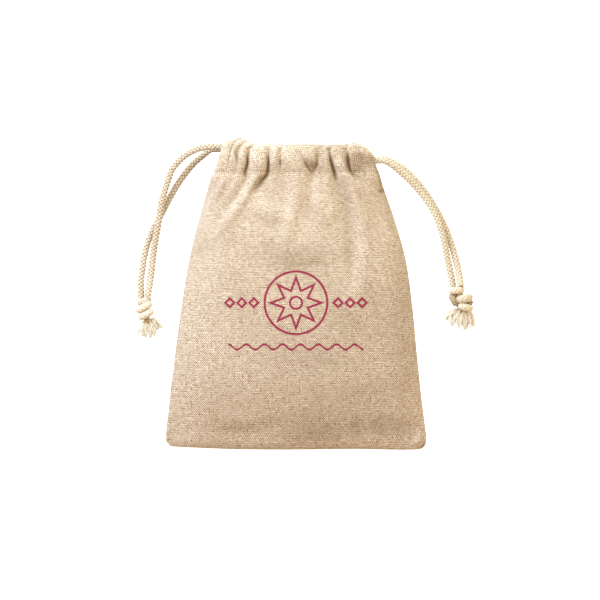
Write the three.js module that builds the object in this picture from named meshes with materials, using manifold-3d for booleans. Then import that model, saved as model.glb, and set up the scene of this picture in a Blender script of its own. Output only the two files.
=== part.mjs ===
// Small linen drawstring pouch that lies face up on its back, its mouth drawn in by two cords.
// Millimetres. +X is to the right of the front, +Y towards the mouth, +Z up from the table.
// The origin is on the table, under the middle of the cloth.

import * as THREE from "three";
import { mergeVertices } from "three/addons/utils/BufferGeometryUtils.js";
import Module from "manifold-3d";

const wasm = await Module();
wasm.setup();

// Cloth and cord
const CLOTH = 1;
const HALF_CLOTH = CLOTH / 2;
const CLEARANCE = 0.3;
const CORD_DIAMETER = 3.7;
const CORD_RADIUS = CORD_DIAMETER / 2;
const CORD_SIDES = 8;
const CORD_PLAY = 0.42;
const CORD_ROOM = CORD_RADIUS + CORD_PLAY;

// Heights of the layers at the casings, from the table up
const BACK_RIPPLE = 1;
const MOUTH_GAP = 4.6;
const BACK_CORD_Z = CLOTH + BACK_RIPPLE + CORD_ROOM;
const BACK_HEM_Z = BACK_CORD_Z + CORD_ROOM + HALF_CLOTH;
const FRONT_HEM_Z = BACK_HEM_Z + CLOTH + MOUTH_GAP;
const FRONT_CORD_Z = FRONT_HEM_Z + HALF_CLOTH + CORD_ROOM;
const FRONT_FACE_Z = FRONT_CORD_Z + CORD_ROOM + HALF_CLOTH;
const SEAM_Z = CLOTH + CLEARANCE + HALF_CLOTH;

// Places along the length of the pouch
const BOTTOM_Y = -78;
const SLIT_Y = 51.9;
const STITCH_Y = 60.4;
const STITCH_ROW = 1.5;
const CROWN_Y = 75;
const FOOT_Y = 30;
const CORNER_RADIUS = 4;
const BOTTOM_EASE = 20;

// Width of the mouth, and of the shorter hem inside it
const MOUTH_LEFT = -38;
const MOUTH_RIGHT = 34;
const HEM_LEFT = -29.2;
const HEM_RIGHT = 29;

// Casing section: the roll at the top, how far the cloth puffs out between two folds, how much
// less it does so at its ends, and how far a fold draws the top edge down
const ROLL_DEPTH = 2.4;
const PUFF = 3.2;
const END_FLATTENING = 1.6;
const END_SHARPNESS = 8;
const SCALLOP = 0.15;
const STITCH_RISE = 0.5;
const BACK_TOP_LOWER = 0.6;

// Section across the belly, which is flat on top and falls away to the side seams
const SIDE_DROP = 3.6;

// How much of a fold's depth shows in the body, how fast folds fade towards the sides, and how
// wide their valleys are
const BODY_FOLD = 0.8;
const FOLD_FADE = 1.3;
const EDGE_FADE = 3;
const BODY_VALLEY = 1.5;
const STITCH_VALLEY = 0.8;
const CASING_VALLEY = 0.7;
const BACK_VALLEY = 1.2;

// Slow unevenness of the slack front: the heights and lengths of its two waves
const SLACK = { square: 0.3, slanted: 0.25, alongX: 15, alongY: 19, slant: 21 };

// Where the columns of points stand between two folds, as shares of the way
const WIDE_BAY = [0, 0.2, 0.5, 0.8];
const NARROW_BAY = [0, 0.5];
const FIRST_BAY = [0, 0.12, 0.32, 0.6];
const LAST_BAY = [0, 0.4, 0.68, 0.88];
const NARROW_WIDTH = 5;

// Left and right edges of the cloth, from the bottom corners to the mouth
const SIDES = [
  { y: BOTTOM_Y, left: -65.4, right: 65.4 },
  { y: -70.6, left: -65.2, right: 65.2 },
  { y: -52.6, left: -63.4, right: 63 },
  { y: -28.6, left: -60.5, right: 60.5 },
  { y: -4.6, left: -57.3, right: 58.2 },
  { y: 19.4, left: -53.2, right: 54.6 },
  { y: 43.4, left: -47.1, right: 47.5 },
  { y: 55.4, left: -43.3, right: 43 },
  { y: 60.4, left: -41.3, right: 41.4 },
  { y: 64.6, left: -39.4, right: 39.4 },
  { y: 68.4, left: -38.3, right: 39 },
  { y: 72.4, left: -37.6, right: 36.3 },
  { y: 76, left: -37.3, right: 33.1 },
  { y: 79, left: -36.4, right: 32.2 },
];

// Top edge of the front, which puffs up at its left corner
const MOUTH = [
  { x: -38, y: 76.9 },
  { x: -34, y: 77.9 },
  { x: -30, y: 77.9 },
  { x: -25, y: 76 },
  { x: -15, y: 75.2 },
  { x: 10, y: 75.1 },
  { x: 23, y: 75.2 },
  { x: 29, y: 75.9 },
  { x: 34, y: 75.8 },
];

// Bottom edge, as its rise above BOTTOM_Y
const BOTTOM = [
  { x: -66, rise: 2.2 },
  { x: -58, rise: 1.7 },
  { x: -30, rise: 0.6 },
  { x: 0, rise: 0.4 },
  { x: 30, rise: 0.7 },
  { x: 55, rise: 0.3 },
  { x: 66, rise: 0.8 },
];

// Height of the front's cloth between its folds, up the middle of the body
const BELLY = [
  { y: BOTTOM_Y, z: SEAM_Z },
  { y: -76.6, z: 3.1 },
  { y: -73.8, z: 4.3 },
  { y: -69, z: 5.1 },
  { y: -62, z: 6.7 },
  { y: -50, z: 9.6 },
  { y: -40, z: 11 },
  { y: -20, z: 11.6 },
  { y: 10, z: 11.8 },
  { y: 32, z: 12.9 },
  { y: 44, z: 14.4 },
  { y: 52, z: 16 },
  { y: 60.4, z: 18.2 },
];

// How square the front's cross-section is, up the body
const DOME = [
  { y: BOTTOM_Y, flatness: 3, roundness: 0.74 },
  { y: 18, flatness: 3.8, roundness: 0.66 },
  { y: 38, flatness: 6.4, roundness: 0.56 },
  { y: 56, flatness: 9, roundness: 0.56 },
];

// Gathers of the front, left to right: x at the mouth, at the stitch line and at FOOT_Y,
// how deep each is, and the y at which it has died out
const FRONT_FOLDS = [
  { crown: -30.5, stitch: -34.6, foot: -47.2, depth: 1.5, ends: 60 },
  { crown: -25.8, stitch: -30, foot: -43.8, depth: 3, ends: 56 },
  { crown: -21.8, stitch: -25.2, foot: -39.5, depth: 3.2, ends: 26 },
  { crown: -13, stitch: -14.2, foot: -24, depth: 3.2, ends: 42 },
  { crown: -6.8, stitch: -7.5, foot: -10, depth: 2.4, ends: 50 },
  { crown: 1.5, stitch: 3.2, foot: 3.5, depth: 1.4, ends: 34 },
  { crown: 8, stitch: 9.5, foot: 13, depth: 2.2, ends: 48 },
  { crown: 16.2, stitch: 19.2, foot: 27, depth: 3.2, ends: -6 },
  { crown: 23.7, stitch: 26.8, foot: 35.5, depth: 2.9, ends: 46 },
  { crown: 28.8, stitch: 34.4, foot: 43.5, depth: 1.9, ends: 50 },
];

// Gathers of the back, which lift it off the table
const BACK_FOLDS = [
  { crown: -28, stitch: -31, foot: -38, depth: 1, ends: 38 },
  { crown: -19, stitch: -20.5, foot: -25, depth: 1, ends: 30 },
  { crown: -9, stitch: -10, foot: -13, depth: 0.9, ends: 42 },
  { crown: 1, stitch: 0.5, foot: 0, depth: 1, ends: 34 },
  { crown: 10, stitch: 11, foot: 14, depth: 0.9, ends: 40 },
  { crown: 20, stitch: 22.5, foot: 27, depth: 1, ends: 28 },
  { crown: 28, stitch: 32, foot: 40, depth: 1, ends: 40 },
];

// Rows of each panel up to its stitch line
const FRONT_ROWS = [
  BOTTOM_Y, -77.5, -76, -74, -69, -60, -46, -32, -18,
  -4, 9, 21, 31, 39, 45, 49.5, 53.5, 57.2,
];
const BACK_ROWS = [BOTTOM_Y, -77.5, -76, -74, -50, -20, 8, 28, 38, 46, 53, 57.2];

// Rows of a casing between its stitch line and its roll: share of the way, and the cloth's
// height as a share of the way from the stitch line's level to the casing's
const CASING_ROWS = [
  { way: 0.3, lift: 0.86 },
  { way: 0.55, lift: 1 },
  { way: 0.8, lift: 1 },
];
const ROLL_STEPS = 6;
const TURN_STEPS = 6;

// Length of one section of a cord, in diameters: free, and round its turn in the casings
const FREE_STEP = 2;
const CASING_STEP = 1.2;

// Free strands, from the casing to the knot, and the turns inside the casings
const LEFT_FRONT_ROUTE = [
  [-38.3, 73.7, FRONT_CORD_Z],
  [-42.6, 73.7, FRONT_CORD_Z],
  [-47.2, 73.1, 14.4],
  [-51.8, 71.5, 12.4],
  [-55.9, 69, 10.6],
  [-59.4, 65.8, 9],
  [-62, 62.3, 7.8],
  [-63.6, 58.2, 6.9],
  [-64.9, 54.4, 6.4],
  [-66.1, 50.3, 6.2],
  [-67.2, 46.6, 6.2],
  [-67.8, 42.8, 6.2],
  [-68.4, 38.8, 6.2],
  [-69, 34.8, 6],
  [-69.6, 31.2, 5.4],
  [-70.6, 26, 4],
  [-71.4, 20.8, 2.6],
  [-71.9, 16.4, 1.95],
  [-72.4, 12, 1.9],
  [-73, 7.6, 2],
  [-73.6, 3.4, 3],
  [-74.2, -0.4, 4.2],
  [-74.5, -2.1, 4.6],
];
const LEFT_BACK_ROUTE = [
  [-38.3, 73, BACK_CORD_Z],
  [-42.6, 72.8, BACK_CORD_Z],
  [-46.6, 69.9, 3.2],
  [-50.2, 67, 2.2],
  [-53.4, 63.6, 1.9],
  [-56.6, 59.4, 1.9],
  [-59.4, 55.4, 1.9],
  [-61.6, 51.6, 1.9],
  [-63.8, 47.6, 1.9],
  [-65.7, 43.9, 1.9],
  [-67.6, 40.3, 1.9],
  [-69.6, 36.7, 1.9],
  [-71.7, 32.8, 1.9],
  [-73.5, 28.8, 1.9],
  [-74.9, 24.8, 1.9],
  [-75.8, 20.8, 1.9],
  [-76.6, 16.4, 1.9],
  [-77.2, 12, 1.9],
  [-77.8, 7.6, 1.9],
  [-77.9, 3.2, 1.9],
  [-77.7, -1.2, 1.9],
  [-77.5, -3, 1.9],
];
const RIGHT_FRONT_ROUTE = [
  [39.4, 66.8, FRONT_CORD_Z],
  [43.8, 66.8, FRONT_CORD_Z],
  [48.2, 64.5, 13.7],
  [52.4, 61.1, 11.6],
  [56.2, 57.7, 9.8],
  [59.6, 54.2, 8.2],
  [62.9, 50.4, 7],
  [66, 46.3, 6.4],
  [68.7, 42, 6.2],
  [70.8, 37.4, 6.1],
  [72.5, 32.7, 5.7],
  [74, 27.4, 4.9],
  [75.1, 22, 3.7],
  [76.1, 16.8, 2.4],
  [77.2, 11.6, 1.95],
  [78.1, 7.4, 1.9],
  [78.7, 3.4, 1.9],
];
const RIGHT_BACK_ROUTE = [
  [39.4, 67.4, BACK_CORD_Z],
  [43.8, 68, BACK_CORD_Z],
  [47.6, 66.8, 3.1],
  [52.1, 64.3, 2.3],
  [56.4, 60.9, 1.9],
  [60.2, 57, 1.9],
  [63.6, 52.8, 1.9],
  [66.7, 48.4, 1.9],
  [69.6, 43.7, 1.9],
  [72.2, 39, 1.9],
  [74.6, 34.1, 1.9],
  [76.6, 29, 1.9],
  [78.4, 23.8, 1.9],
  [79.9, 18.6, 1.9],
  [81.1, 13.6, 1.9],
  [81.9, 9, 2.6],
  [82.3, 5.8, 3.8],
  [82.3, 4.1, 4.3],
];

// Rounded lobes that make up each knot: centre, turn about Z in degrees, half sizes
const LEFT_KNOT_LOBES = [
  { x: -76, y: -5, turn: 12, long: 4, wide: 1.9, high: 3.3 },
  { x: -76.3, y: -7.2, turn: 29, long: 5, wide: 2, high: 3.8 },
  { x: -75.5, y: -10.3, turn: 29, long: 4.8, wide: 2, high: 3.6 },
  { x: -75.7, y: -8.6, turn: 90, long: 4.4, wide: 3.6, high: 3.3 },
  { x: -74.4, y: -12.4, turn: 24, long: 3.4, wide: 1.4, high: 2.7 },
];
const RIGHT_KNOT_LOBES = [
  { x: 80.2, y: 1.4, turn: 3, long: 4.2, wide: 1.9, high: 3.6 },
  { x: 78.7, y: -3, turn: -66, long: 4, wide: 2, high: 3.4 },
  { x: 84.2, y: -2, turn: 26, long: 4.6, wide: 2.5, high: 3.8 },
  { x: 84.5, y: -6, turn: -20, long: 4.4, wide: 2.6, high: 3.5 },
  { x: 81.8, y: -2.8, turn: 90, long: 5, wide: 4, high: 3.2 },
];

// Tufts: the head's place, the middle direction of the fan in degrees, its spread and reach
const LEFT_TUFT = { x: -74.1, y: -15.5, middle: -86, spread: 74, reach: 6.4, across: 2.6 };
const RIGHT_TUFT = { x: 83.4, y: -9.75, middle: -98, spread: 92, reach: 8, across: 2.8 };
const TUFT_LAYERS = [
  { z: 0.34, locks: 9, turn: 0 },
  { z: 1.2, locks: 8, turn: 1.5 },
  { z: 2.05, locks: 7, turn: -2 },
];
const TUFT_HEAD = { wide: 1.3, high: 1.5 };
const LOCK_RADIUS = 0.32;
const LOCK_TIP = 0.55;
const LOCK_STEPS = 3;

// Hair's breadth between a knot or tuft and the table
const LIFT = 0.02;

const CLOTH_COLOUR = 0xcbb08f;
const CORD_COLOUR = 0xefe6d0;

// Smooth value of a column at a place along another column of a table
function along(rows, key, place, column) {
  const last = rows.length - 1;
  if (place <= rows[0][key]) {
    return rows[0][column];
  }
  if (place >= rows[last][key]) {
    return rows[last][column];
  }
  let i = 0;
  while (place > rows[i + 1][key]) {
    i += 1;
  }
  const slope = (n) => {
    const a = rows[Math.max(n - 1, 0)];
    const b = rows[Math.min(n + 1, last)];
    return (b[column] - a[column]) / (b[key] - a[key]);
  };
  const width = rows[i + 1][key] - rows[i][key];
  const t = (place - rows[i][key]) / width;
  const from = rows[i][column];
  const to = rows[i + 1][column];
  const bend = (1 - t) * slope(i) * width - t * slope(i + 1) * width;
  const drift = (1 - 2 * t) * (to - from);
  return from + t * (to - from) + t * (1 - t) * (bend - drift);
}

const mix = THREE.MathUtils.lerp;
const smooth = THREE.MathUtils.smoothstep;

// Inset of the cloth's side at the rounded bottom corners
function cornerInset(y) {
  const up = Math.min(Math.max(y - BOTTOM_Y, 0), CORNER_RADIUS);
  const rise = CORNER_RADIUS - up;
  return CORNER_RADIUS - Math.sqrt(CORNER_RADIUS ** 2 - rise ** 2);
}

function sideAt(y, side) {
  const inset = side === "left" ? cornerInset(y) : -cornerInset(y);
  return along(SIDES, "y", y, side) + inset;
}

// Where x lies between the two sides at y, from 0 at the left to 1 at the right
function shareAt(x, y) {
  const left = sideAt(y, "left");
  return (x - left) / (sideAt(y, "right") - left);
}

// A fold's place between the sides at y
function foldShare(fold, y) {
  const crown = shareAt(fold.crown, CROWN_Y);
  const stitch = shareAt(fold.stitch, STITCH_Y);
  const foot = shareAt(fold.foot, FOOT_Y);
  if (y > STITCH_Y) {
    return mix(stitch, crown, Math.min((y - STITCH_Y) / (CROWN_Y - STITCH_Y), 1));
  }
  return mix(foot, stitch, smooth(y, FOOT_Y, STITCH_Y));
}

// Columns of a panel: each stands a share of the way from one fold to the next
function panelColumns(folds) {
  const columns = [];
  for (let n = 0; n <= folds.length; n += 1) {
    const from = n === 0 ? MOUTH_LEFT : folds[n - 1].crown;
    const to = n === folds.length ? MOUTH_RIGHT : folds[n].crown;
    let shares = to - from < NARROW_WIDTH ? NARROW_BAY : WIDE_BAY;
    if (n === 0) {
      shares = FIRST_BAY;
    }
    if (n === folds.length) {
      shares = LAST_BAY;
    }
    for (const share of shares) {
      columns.push({ bay: n, share });
    }
  }
  columns.push({ bay: folds.length, share: 1 });
  return columns;
}

// A column's place between the sides at y
function columnShare(folds, column, y) {
  const from = column.bay === 0 ? 0 : foldShare(folds[column.bay - 1], y);
  const to = column.bay === folds.length ? 1 : foldShare(folds[column.bay], y);
  return mix(from, to, column.share);
}

// How deep the cloth dips at a column: full in a fold, nothing on the puff between two
function foldDip(folds, column, y, valley) {
  const depthOf = (fold) => {
    if (!fold) {
      return 0;
    }
    return fold.depth * (y > STITCH_Y ? 1 : smooth(y, fold.ends, STITCH_Y));
  };
  const before = depthOf(folds[column.bay - 1]);
  const after = depthOf(folds[column.bay]);
  if (column.bay === 0) {
    return after * column.share ** EDGE_FADE;
  }
  if (column.bay === folds.length) {
    return before * (1 - column.share) ** EDGE_FADE;
  }
  const near = 1 - Math.sin(Math.PI * column.share) ** valley;
  return mix(before, after, column.share) * near;
}

function slack(x, y) {
  const square = Math.sin(x / SLACK.alongX + 0.6) * Math.sin(y / SLACK.alongY + 1);
  return SLACK.square * square + SLACK.slanted * Math.sin((x + y) / SLACK.slant);
}

// Middle of the front's cloth below its stitch line
function frontBody(folds, column, rowY) {
  const share = columnShare(folds, column, rowY);
  const x = mix(sideAt(rowY, "left"), sideAt(rowY, "right"), share);
  const bottom = 1 - smooth(rowY, BOTTOM_Y, BOTTOM_Y + BOTTOM_EASE);
  const y = rowY + bottom * along(BOTTOM, "x", x, "rise");
  const edgeZ = mix(SEAM_Z, FRONT_FACE_Z - SIDE_DROP, smooth(rowY, SLIT_Y, STITCH_Y));
  const crown = along(BELLY, "y", rowY, "z");
  const across = Math.abs(2 * share - 1);
  const flatness = along(DOME, "y", rowY, "flatness");
  const dome = (1 - across ** flatness) ** along(DOME, "y", rowY, "roundness");
  const ease = smooth(rowY, BOTTOM_Y, BOTTOM_Y + BOTTOM_EASE);
  const inside = ease * (1 - smooth(rowY, FOOT_Y, STITCH_Y)) * dome;
  const valley = mix(BODY_VALLEY, STITCH_VALLEY, smooth(rowY, FOOT_Y, STITCH_Y));
  const fade = Math.min(1, FOLD_FADE * dome);
  const dip = BODY_FOLD * fade * foldDip(folds, column, rowY, valley);
  const z = edgeZ + (crown - edgeZ) * dome - dip + inside * slack(x, y);
  return new THREE.Vector3(x, y, z);
}

// Middle of the back's cloth below its stitch line
function backBody(folds, column, rowY) {
  const share = columnShare(folds, column, rowY);
  const x = mix(sideAt(rowY, "left"), sideAt(rowY, "right"), share);
  const bottom = 1 - smooth(rowY, BOTTOM_Y, BOTTOM_Y + BOTTOM_EASE);
  const y = rowY + bottom * along(BOTTOM, "x", x, "rise");
  const z = HALF_CLOTH + foldDip(folds, column, rowY, BACK_VALLEY);
  return new THREE.Vector3(x, y, z);
}

// The casing: outer layer, roll over the top and hem, as rows of points for one column
function casingPoints(folds, column, levels) {
  const points = [];
  const topShare = columnShare(folds, column, CROWN_Y);
  const topX = mix(sideAt(CROWN_Y, "left"), sideAt(CROWN_Y, "right"), topShare);
  const dip = foldDip(folds, column, CROWN_Y, CASING_VALLEY);
  const top = along(MOUTH, "x", topX, "y") - levels.lower - SCALLOP * dip;
  const rollY = top - HALF_CLOTH - ROLL_DEPTH;
  const endShare = Math.abs(2 * topShare - 1) ** END_SHARPNESS;
  const faceZ = levels.face + levels.puff(dip, endShare);
  const seam = levels.stitch(column);
  const place = (y, z, hemShare) => {
    const share = columnShare(folds, column, Math.min(y, CROWN_Y));
    const outX = mix(sideAt(y, "left"), sideAt(y, "right"), share);
    const hemX = mix(HEM_LEFT, HEM_RIGHT, share);
    return new THREE.Vector3(mix(outX, hemX, hemShare), y, z);
  };
  const rowY = (way) => mix(STITCH_Y + STITCH_ROW, rollY, way);
  points.push(place(STITCH_Y + STITCH_ROW, seam + levels.rise, 0));
  for (const row of CASING_ROWS) {
    points.push(place(rowY(row.way), mix(seam + levels.rise, faceZ, row.lift), 0));
  }
  for (let n = 0; n <= ROLL_STEPS; n += 1) {
    const angle = (Math.PI * n) / ROLL_STEPS;
    const middle = (faceZ + levels.hem) / 2;
    const z = middle + ((faceZ - levels.hem) / 2) * Math.cos(angle);
    points.push(place(rollY + ROLL_DEPTH * Math.sin(angle), z, smooth(n, 0, ROLL_STEPS)));
  }
  for (const row of levels.hemRows) {
    points.push(place(rowY(row.way), mix(seam, levels.hem, row.lift), 1));
  }
  return points;
}

// One piece of cloth with its hem turned in and sewn down at seamRow: a closed solid, through
// whose casing a channel runs. grid holds the middle of the cloth, a list of rows of columns.
function hemmedCloth(grid, seamRow, insideUp) {
  const rows = grid.length;
  const columns = grid[0].length;
  const outer = [];
  const inner = [];
  const positions = [];
  for (let j = 0; j < rows; j += 1) {
    outer.push([]);
    inner.push([]);
    for (let i = 0; i < columns; i += 1) {
      const up = grid[Math.min(j + 1, rows - 1)][i].clone().sub(grid[Math.max(j - 1, 0)][i]);
      const right = grid[j][Math.min(i + 1, columns - 1)].clone().sub(grid[j][Math.max(i - 1, 0)]);
      const normal = right.cross(up).normalize().multiplyScalar(insideUp ? -HALF_CLOTH : HALF_CLOTH);
      outer[j].push(positions.push(grid[j][i].clone().add(normal)) - 1);
      inner[j].push(positions.push(grid[j][i].clone().sub(normal)) - 1);
    }
  }
  const outerRows = [...outer, inner[seamRow]];
  const innerRows = [...inner, inner[seamRow + 1]];
  const triangles = [];
  const quad = (a, b, c, d) => {
    const straight = positions[a].distanceTo(positions[c]) <= positions[b].distanceTo(positions[d]);
    triangles.push(...(straight ? [a, b, c, a, c, d] : [a, b, d, b, c, d]));
  };
  for (let j = 0; j < rows; j += 1) {
    for (let i = 0; i + 1 < columns; i += 1) {
      quad(outerRows[j][i], outerRows[j][i + 1], outerRows[j + 1][i + 1], outerRows[j + 1][i]);
      if (j !== seamRow) {
        quad(innerRows[j][i + 1], innerRows[j][i], innerRows[j + 1][i], innerRows[j + 1][i + 1]);
      }
    }
    quad(innerRows[j][0], outerRows[j][0], outerRows[j + 1][0], innerRows[j + 1][0]);
    const end = columns - 1;
    quad(outerRows[j][end], innerRows[j][end], innerRows[j + 1][end], outerRows[j + 1][end]);
  }
  for (let i = 0; i + 1 < columns; i += 1) {
    quad(innerRows[0][i], innerRows[0][i + 1], outerRows[0][i + 1], outerRows[0][i]);
  }
  if (insideUp) {
    triangles.reverse();
  }
  const geometry = new THREE.BufferGeometry();
  const numbers = positions.flatMap((point) => point.toArray());
  geometry.setAttribute("position", new THREE.Float32BufferAttribute(numbers, 3));
  geometry.setIndex(triangles);
  return geometry;
}

function panelGrid(folds, rowYs, body, levels) {
  const columns = panelColumns(folds);
  const casings = columns.map((column) => casingPoints(folds, column, levels));
  const grid = [...rowYs, STITCH_Y].map((y) => columns.map((column) => body(folds, column, y)));
  for (let j = 0; j < casings[0].length; j += 1) {
    grid.push(casings.map((points) => points[j]));
  }
  return grid;
}

function frontPanel() {
  const levels = {
    lower: 0,
    face: FRONT_FACE_Z,
    hem: FRONT_HEM_Z,
    rise: STITCH_RISE,
    puff: (dip, end) => PUFF - dip - END_FLATTENING * end,
    stitch: (column) => frontBody(FRONT_FOLDS, column, STITCH_Y).z,
    hemRows: [
      { way: 0.55, lift: 1 },
      { way: 0.24, lift: 1 },
    ],
  };
  const grid = panelGrid(FRONT_FOLDS, FRONT_ROWS, frontBody, levels);
  return hemmedCloth(grid, FRONT_ROWS.length, false);
}

function backPanel() {
  const levels = {
    lower: BACK_TOP_LOWER,
    face: HALF_CLOTH,
    hem: BACK_HEM_Z,
    rise: 0,
    puff: (dip) => dip,
    stitch: (column) => backBody(BACK_FOLDS, column, STITCH_Y).z,
    hemRows: [
      { way: 0.55, lift: 1 },
      { way: 0.26, lift: 0.98 },
      { way: 0.06, lift: 0.6 },
    ],
  };
  const grid = panelGrid(BACK_FOLDS, BACK_ROWS, backBody, levels);
  return hemmedCloth(grid, BACK_ROWS.length, true);
}

function curveThrough(points) {
  return new THREE.CatmullRomCurve3(points, false, "centripetal");
}

// A stretch of cord along a route, with a little cut off where it meets a neighbour.
// step is the length of one section, in diameters.
function cordGeometry(route, step, cutStart, cutEnd) {
  const whole = curveThrough(route.map((point) => new THREE.Vector3(...point)));
  const length = whole.getLength();
  const steps = Math.ceil(length / (step * CORD_DIAMETER));
  const points = [];
  for (let n = 0; n <= 2 * steps; n += 1) {
    const place = mix(cutStart, length - cutEnd, n / (2 * steps));
    points.push(whole.getPointAt(place / length));
  }
  const section = new THREE.Shape();
  for (let n = 0; n < CORD_SIDES; n += 1) {
    const angle = ((n + 0.5) * 2 * Math.PI) / CORD_SIDES;
    const corner = [CORD_RADIUS * Math.cos(angle), CORD_RADIUS * Math.sin(angle)];
    if (n === 0) {
      section.moveTo(...corner);
    } else {
      section.lineTo(...corner);
    }
  }
  return new THREE.ExtrudeGeometry(section, { steps, extrudePath: curveThrough(points) });
}

// The part of a cord inside the casings: in at the front, round the far end, out at the back
function casingRoute(frontRun, backRun, turnX, turnY) {
  const radius = (FRONT_CORD_Z - BACK_CORD_Z) / 2;
  const middle = (FRONT_CORD_Z + BACK_CORD_Z) / 2;
  const route = frontRun.map(([x, y]) => [x, y, FRONT_CORD_Z]);
  for (let n = 0; n <= TURN_STEPS; n += 1) {
    const angle = (Math.PI * n) / TURN_STEPS;
    const out = radius * Math.sin(angle) * Math.sign(turnX);
    route.push([turnX + out, turnY, middle + radius * Math.cos(angle)]);
  }
  route.push(...backRun.map(([x, y]) => [x, y, BACK_CORD_Z]));
  return route;
}

const LEFT_CORD_ROUTE = casingRoute(
  [[-38.3, 73.7], [-33, 73.7], [-25, 72.1], [-12, 71.2], [8, 71], [20, 70.8]],
  [[20, 70.8], [8, 70.6], [-12, 70.8], [-25, 71.9], [-33, 73.2], [-38.3, 73]],
  29,
  70.6,
);
const RIGHT_CORD_ROUTE = casingRoute(
  [[39.4, 66.8], [34, 66.8], [24, 66.4], [8, 66.5], [-12, 66.7], [-22, 67.2]],
  [[-22, 67.1], [-12, 66.6], [8, 66.4], [24, 66.4], [34, 66.7], [39.4, 67.4]],
  -29.2,
  68.3,
);

function toManifold(geometry) {
  const bare = geometry.clone();
  bare.deleteAttribute("normal");
  bare.deleteAttribute("uv");
  const merged = mergeVertices(bare, 1e-4);
  const mesh = new wasm.Mesh({
    numProp: 3,
    vertProperties: merged.attributes.position.array,
    triVerts: new Uint32Array(merged.index.array),
  });
  return new wasm.Manifold(mesh);
}

function joined(geometries) {
  const solid = geometries.map(toManifold).reduce((sum, next) => sum.add(next));
  const mesh = solid.getMesh();
  const geometry = new THREE.BufferGeometry();
  geometry.setAttribute("position", new THREE.BufferAttribute(mesh.vertProperties, 3));
  geometry.setIndex([...mesh.triVerts]);
  return geometry;
}

// A rounded lump that touches the table
function lobe({ x, y, turn, long, wide, high }) {
  const geometry = new THREE.SphereGeometry(1, 12, 8);
  geometry.rotateX(Math.PI / 2);
  geometry.scale(long, wide, high);
  geometry.rotateZ(THREE.MathUtils.degToRad(turn));
  geometry.translate(x, y, high + LIFT);
  return geometry;
}

function knot(lobes) {
  return joined(lobes.map(lobe));
}

// One lock of frayed cotton, three sided, that thins towards its tip
function lockGeometry(path) {
  const positions = [];
  const triangles = [];
  for (let n = 0; n <= LOCK_STEPS; n += 1) {
    const t = n / LOCK_STEPS;
    const centre = path.getPoint(t);
    const aside = path.getTangent(t).cross(new THREE.Vector3(0, 0, 1)).normalize();
    const radius = LOCK_RADIUS * mix(1, LOCK_TIP, t);
    for (let side = 0; side < 3; side += 1) {
      const angle = Math.PI / 2 + (side * 2 * Math.PI) / 3;
      const point = centre.clone().addScaledVector(aside, radius * Math.cos(angle));
      point.z += radius * Math.sin(angle);
      positions.push(...point.toArray());
    }
  }
  for (let n = 0; n < LOCK_STEPS; n += 1) {
    for (let side = 0; side < 3; side += 1) {
      const a = 3 * n + side;
      const b = 3 * n + ((side + 1) % 3);
      triangles.push(a, a + 3, b, b, a + 3, b + 3);
    }
  }
  const tip = 3 * LOCK_STEPS;
  triangles.push(0, 1, 2, tip, tip + 2, tip + 1);
  const geometry = new THREE.BufferGeometry();
  geometry.setAttribute("position", new THREE.Float32BufferAttribute(positions, 3));
  geometry.setIndex(triangles);
  return geometry;
}

// A tuft: locks that fan out over the table in layers, their roots held by a small head
function tuft({ x, y, middle, spread, reach, across }) {
  const head = lobe({ x, y, turn: middle + 90, long: across, ...TUFT_HEAD });
  const rootWidth = 1.7 * across;
  const aside = THREE.MathUtils.degToRad(middle + 90);
  const locks = [];
  for (const layer of TUFT_LAYERS) {
    for (let n = 0; n < layer.locks; n += 1) {
      const share = n / (layer.locks - 1) - 0.5;
      const angle = THREE.MathUtils.degToRad(middle + layer.turn + spread * share);
      const length = reach * (1 - 0.16 * Math.abs(Math.sin(7 * n + layer.z)));
      const startX = x + rootWidth * share * Math.cos(aside);
      const startY = y + rootWidth * share * Math.sin(aside);
      const rootZ = 1.1 + 0.35 * layer.z;
      const at = (t, bend) => new THREE.Vector3(
        startX + t * length * Math.cos(angle - bend),
        startY + t * length * Math.sin(angle - bend),
        mix(rootZ, layer.z * mix(1, 0.8, t), Math.min(1, 2.2 * t)),
      );
      const path = curveThrough([at(0, 0), at(0.34, 0), at(0.68, 0.02), at(1, 0.06)]);
      locks.push(lockGeometry(path));
    }
  }
  return joined([head, ...locks]);
}

function cloth(name, geometry) {
  const material = new THREE.MeshStandardMaterial({
    color: CLOTH_COLOUR,
    roughness: 0.95,
    metalness: 0,
  });
  const mesh = new THREE.Mesh(geometry, material);
  mesh.name = name;
  return mesh;
}

function cotton(name, geometry) {
  const material = new THREE.MeshStandardMaterial({
    color: CORD_COLOUR,
    roughness: 0.9,
    metalness: 0,
  });
  const mesh = new THREE.Mesh(geometry, material);
  mesh.name = name;
  return mesh;
}

const half = CLEARANCE / 2;
const pouch = new THREE.Group();
pouch.add(cloth("front_panel", frontPanel()));
pouch.add(cloth("back_panel", backPanel()));
pouch.add(cotton("left_cord_in_casing", cordGeometry(LEFT_CORD_ROUTE, CASING_STEP, half, half)));
pouch.add(cotton("right_cord_in_casing", cordGeometry(RIGHT_CORD_ROUTE, CASING_STEP, half, half)));
pouch.add(cotton("left_cord_front_strand", cordGeometry(LEFT_FRONT_ROUTE, FREE_STEP, half, 0)));
pouch.add(cotton("left_cord_back_strand", cordGeometry(LEFT_BACK_ROUTE, FREE_STEP, half, 0)));
pouch.add(cotton("right_cord_front_strand", cordGeometry(RIGHT_FRONT_ROUTE, FREE_STEP, half, 0)));
pouch.add(cotton("right_cord_back_strand", cordGeometry(RIGHT_BACK_ROUTE, FREE_STEP, half, 0)));
pouch.add(cotton("left_knot", knot(LEFT_KNOT_LOBES)));
pouch.add(cotton("right_knot", knot(RIGHT_KNOT_LOBES)));
pouch.add(cotton("left_tuft", tuft(LEFT_TUFT)));
pouch.add(cotton("right_tuft", tuft(RIGHT_TUFT)));

export default pouch;
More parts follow.
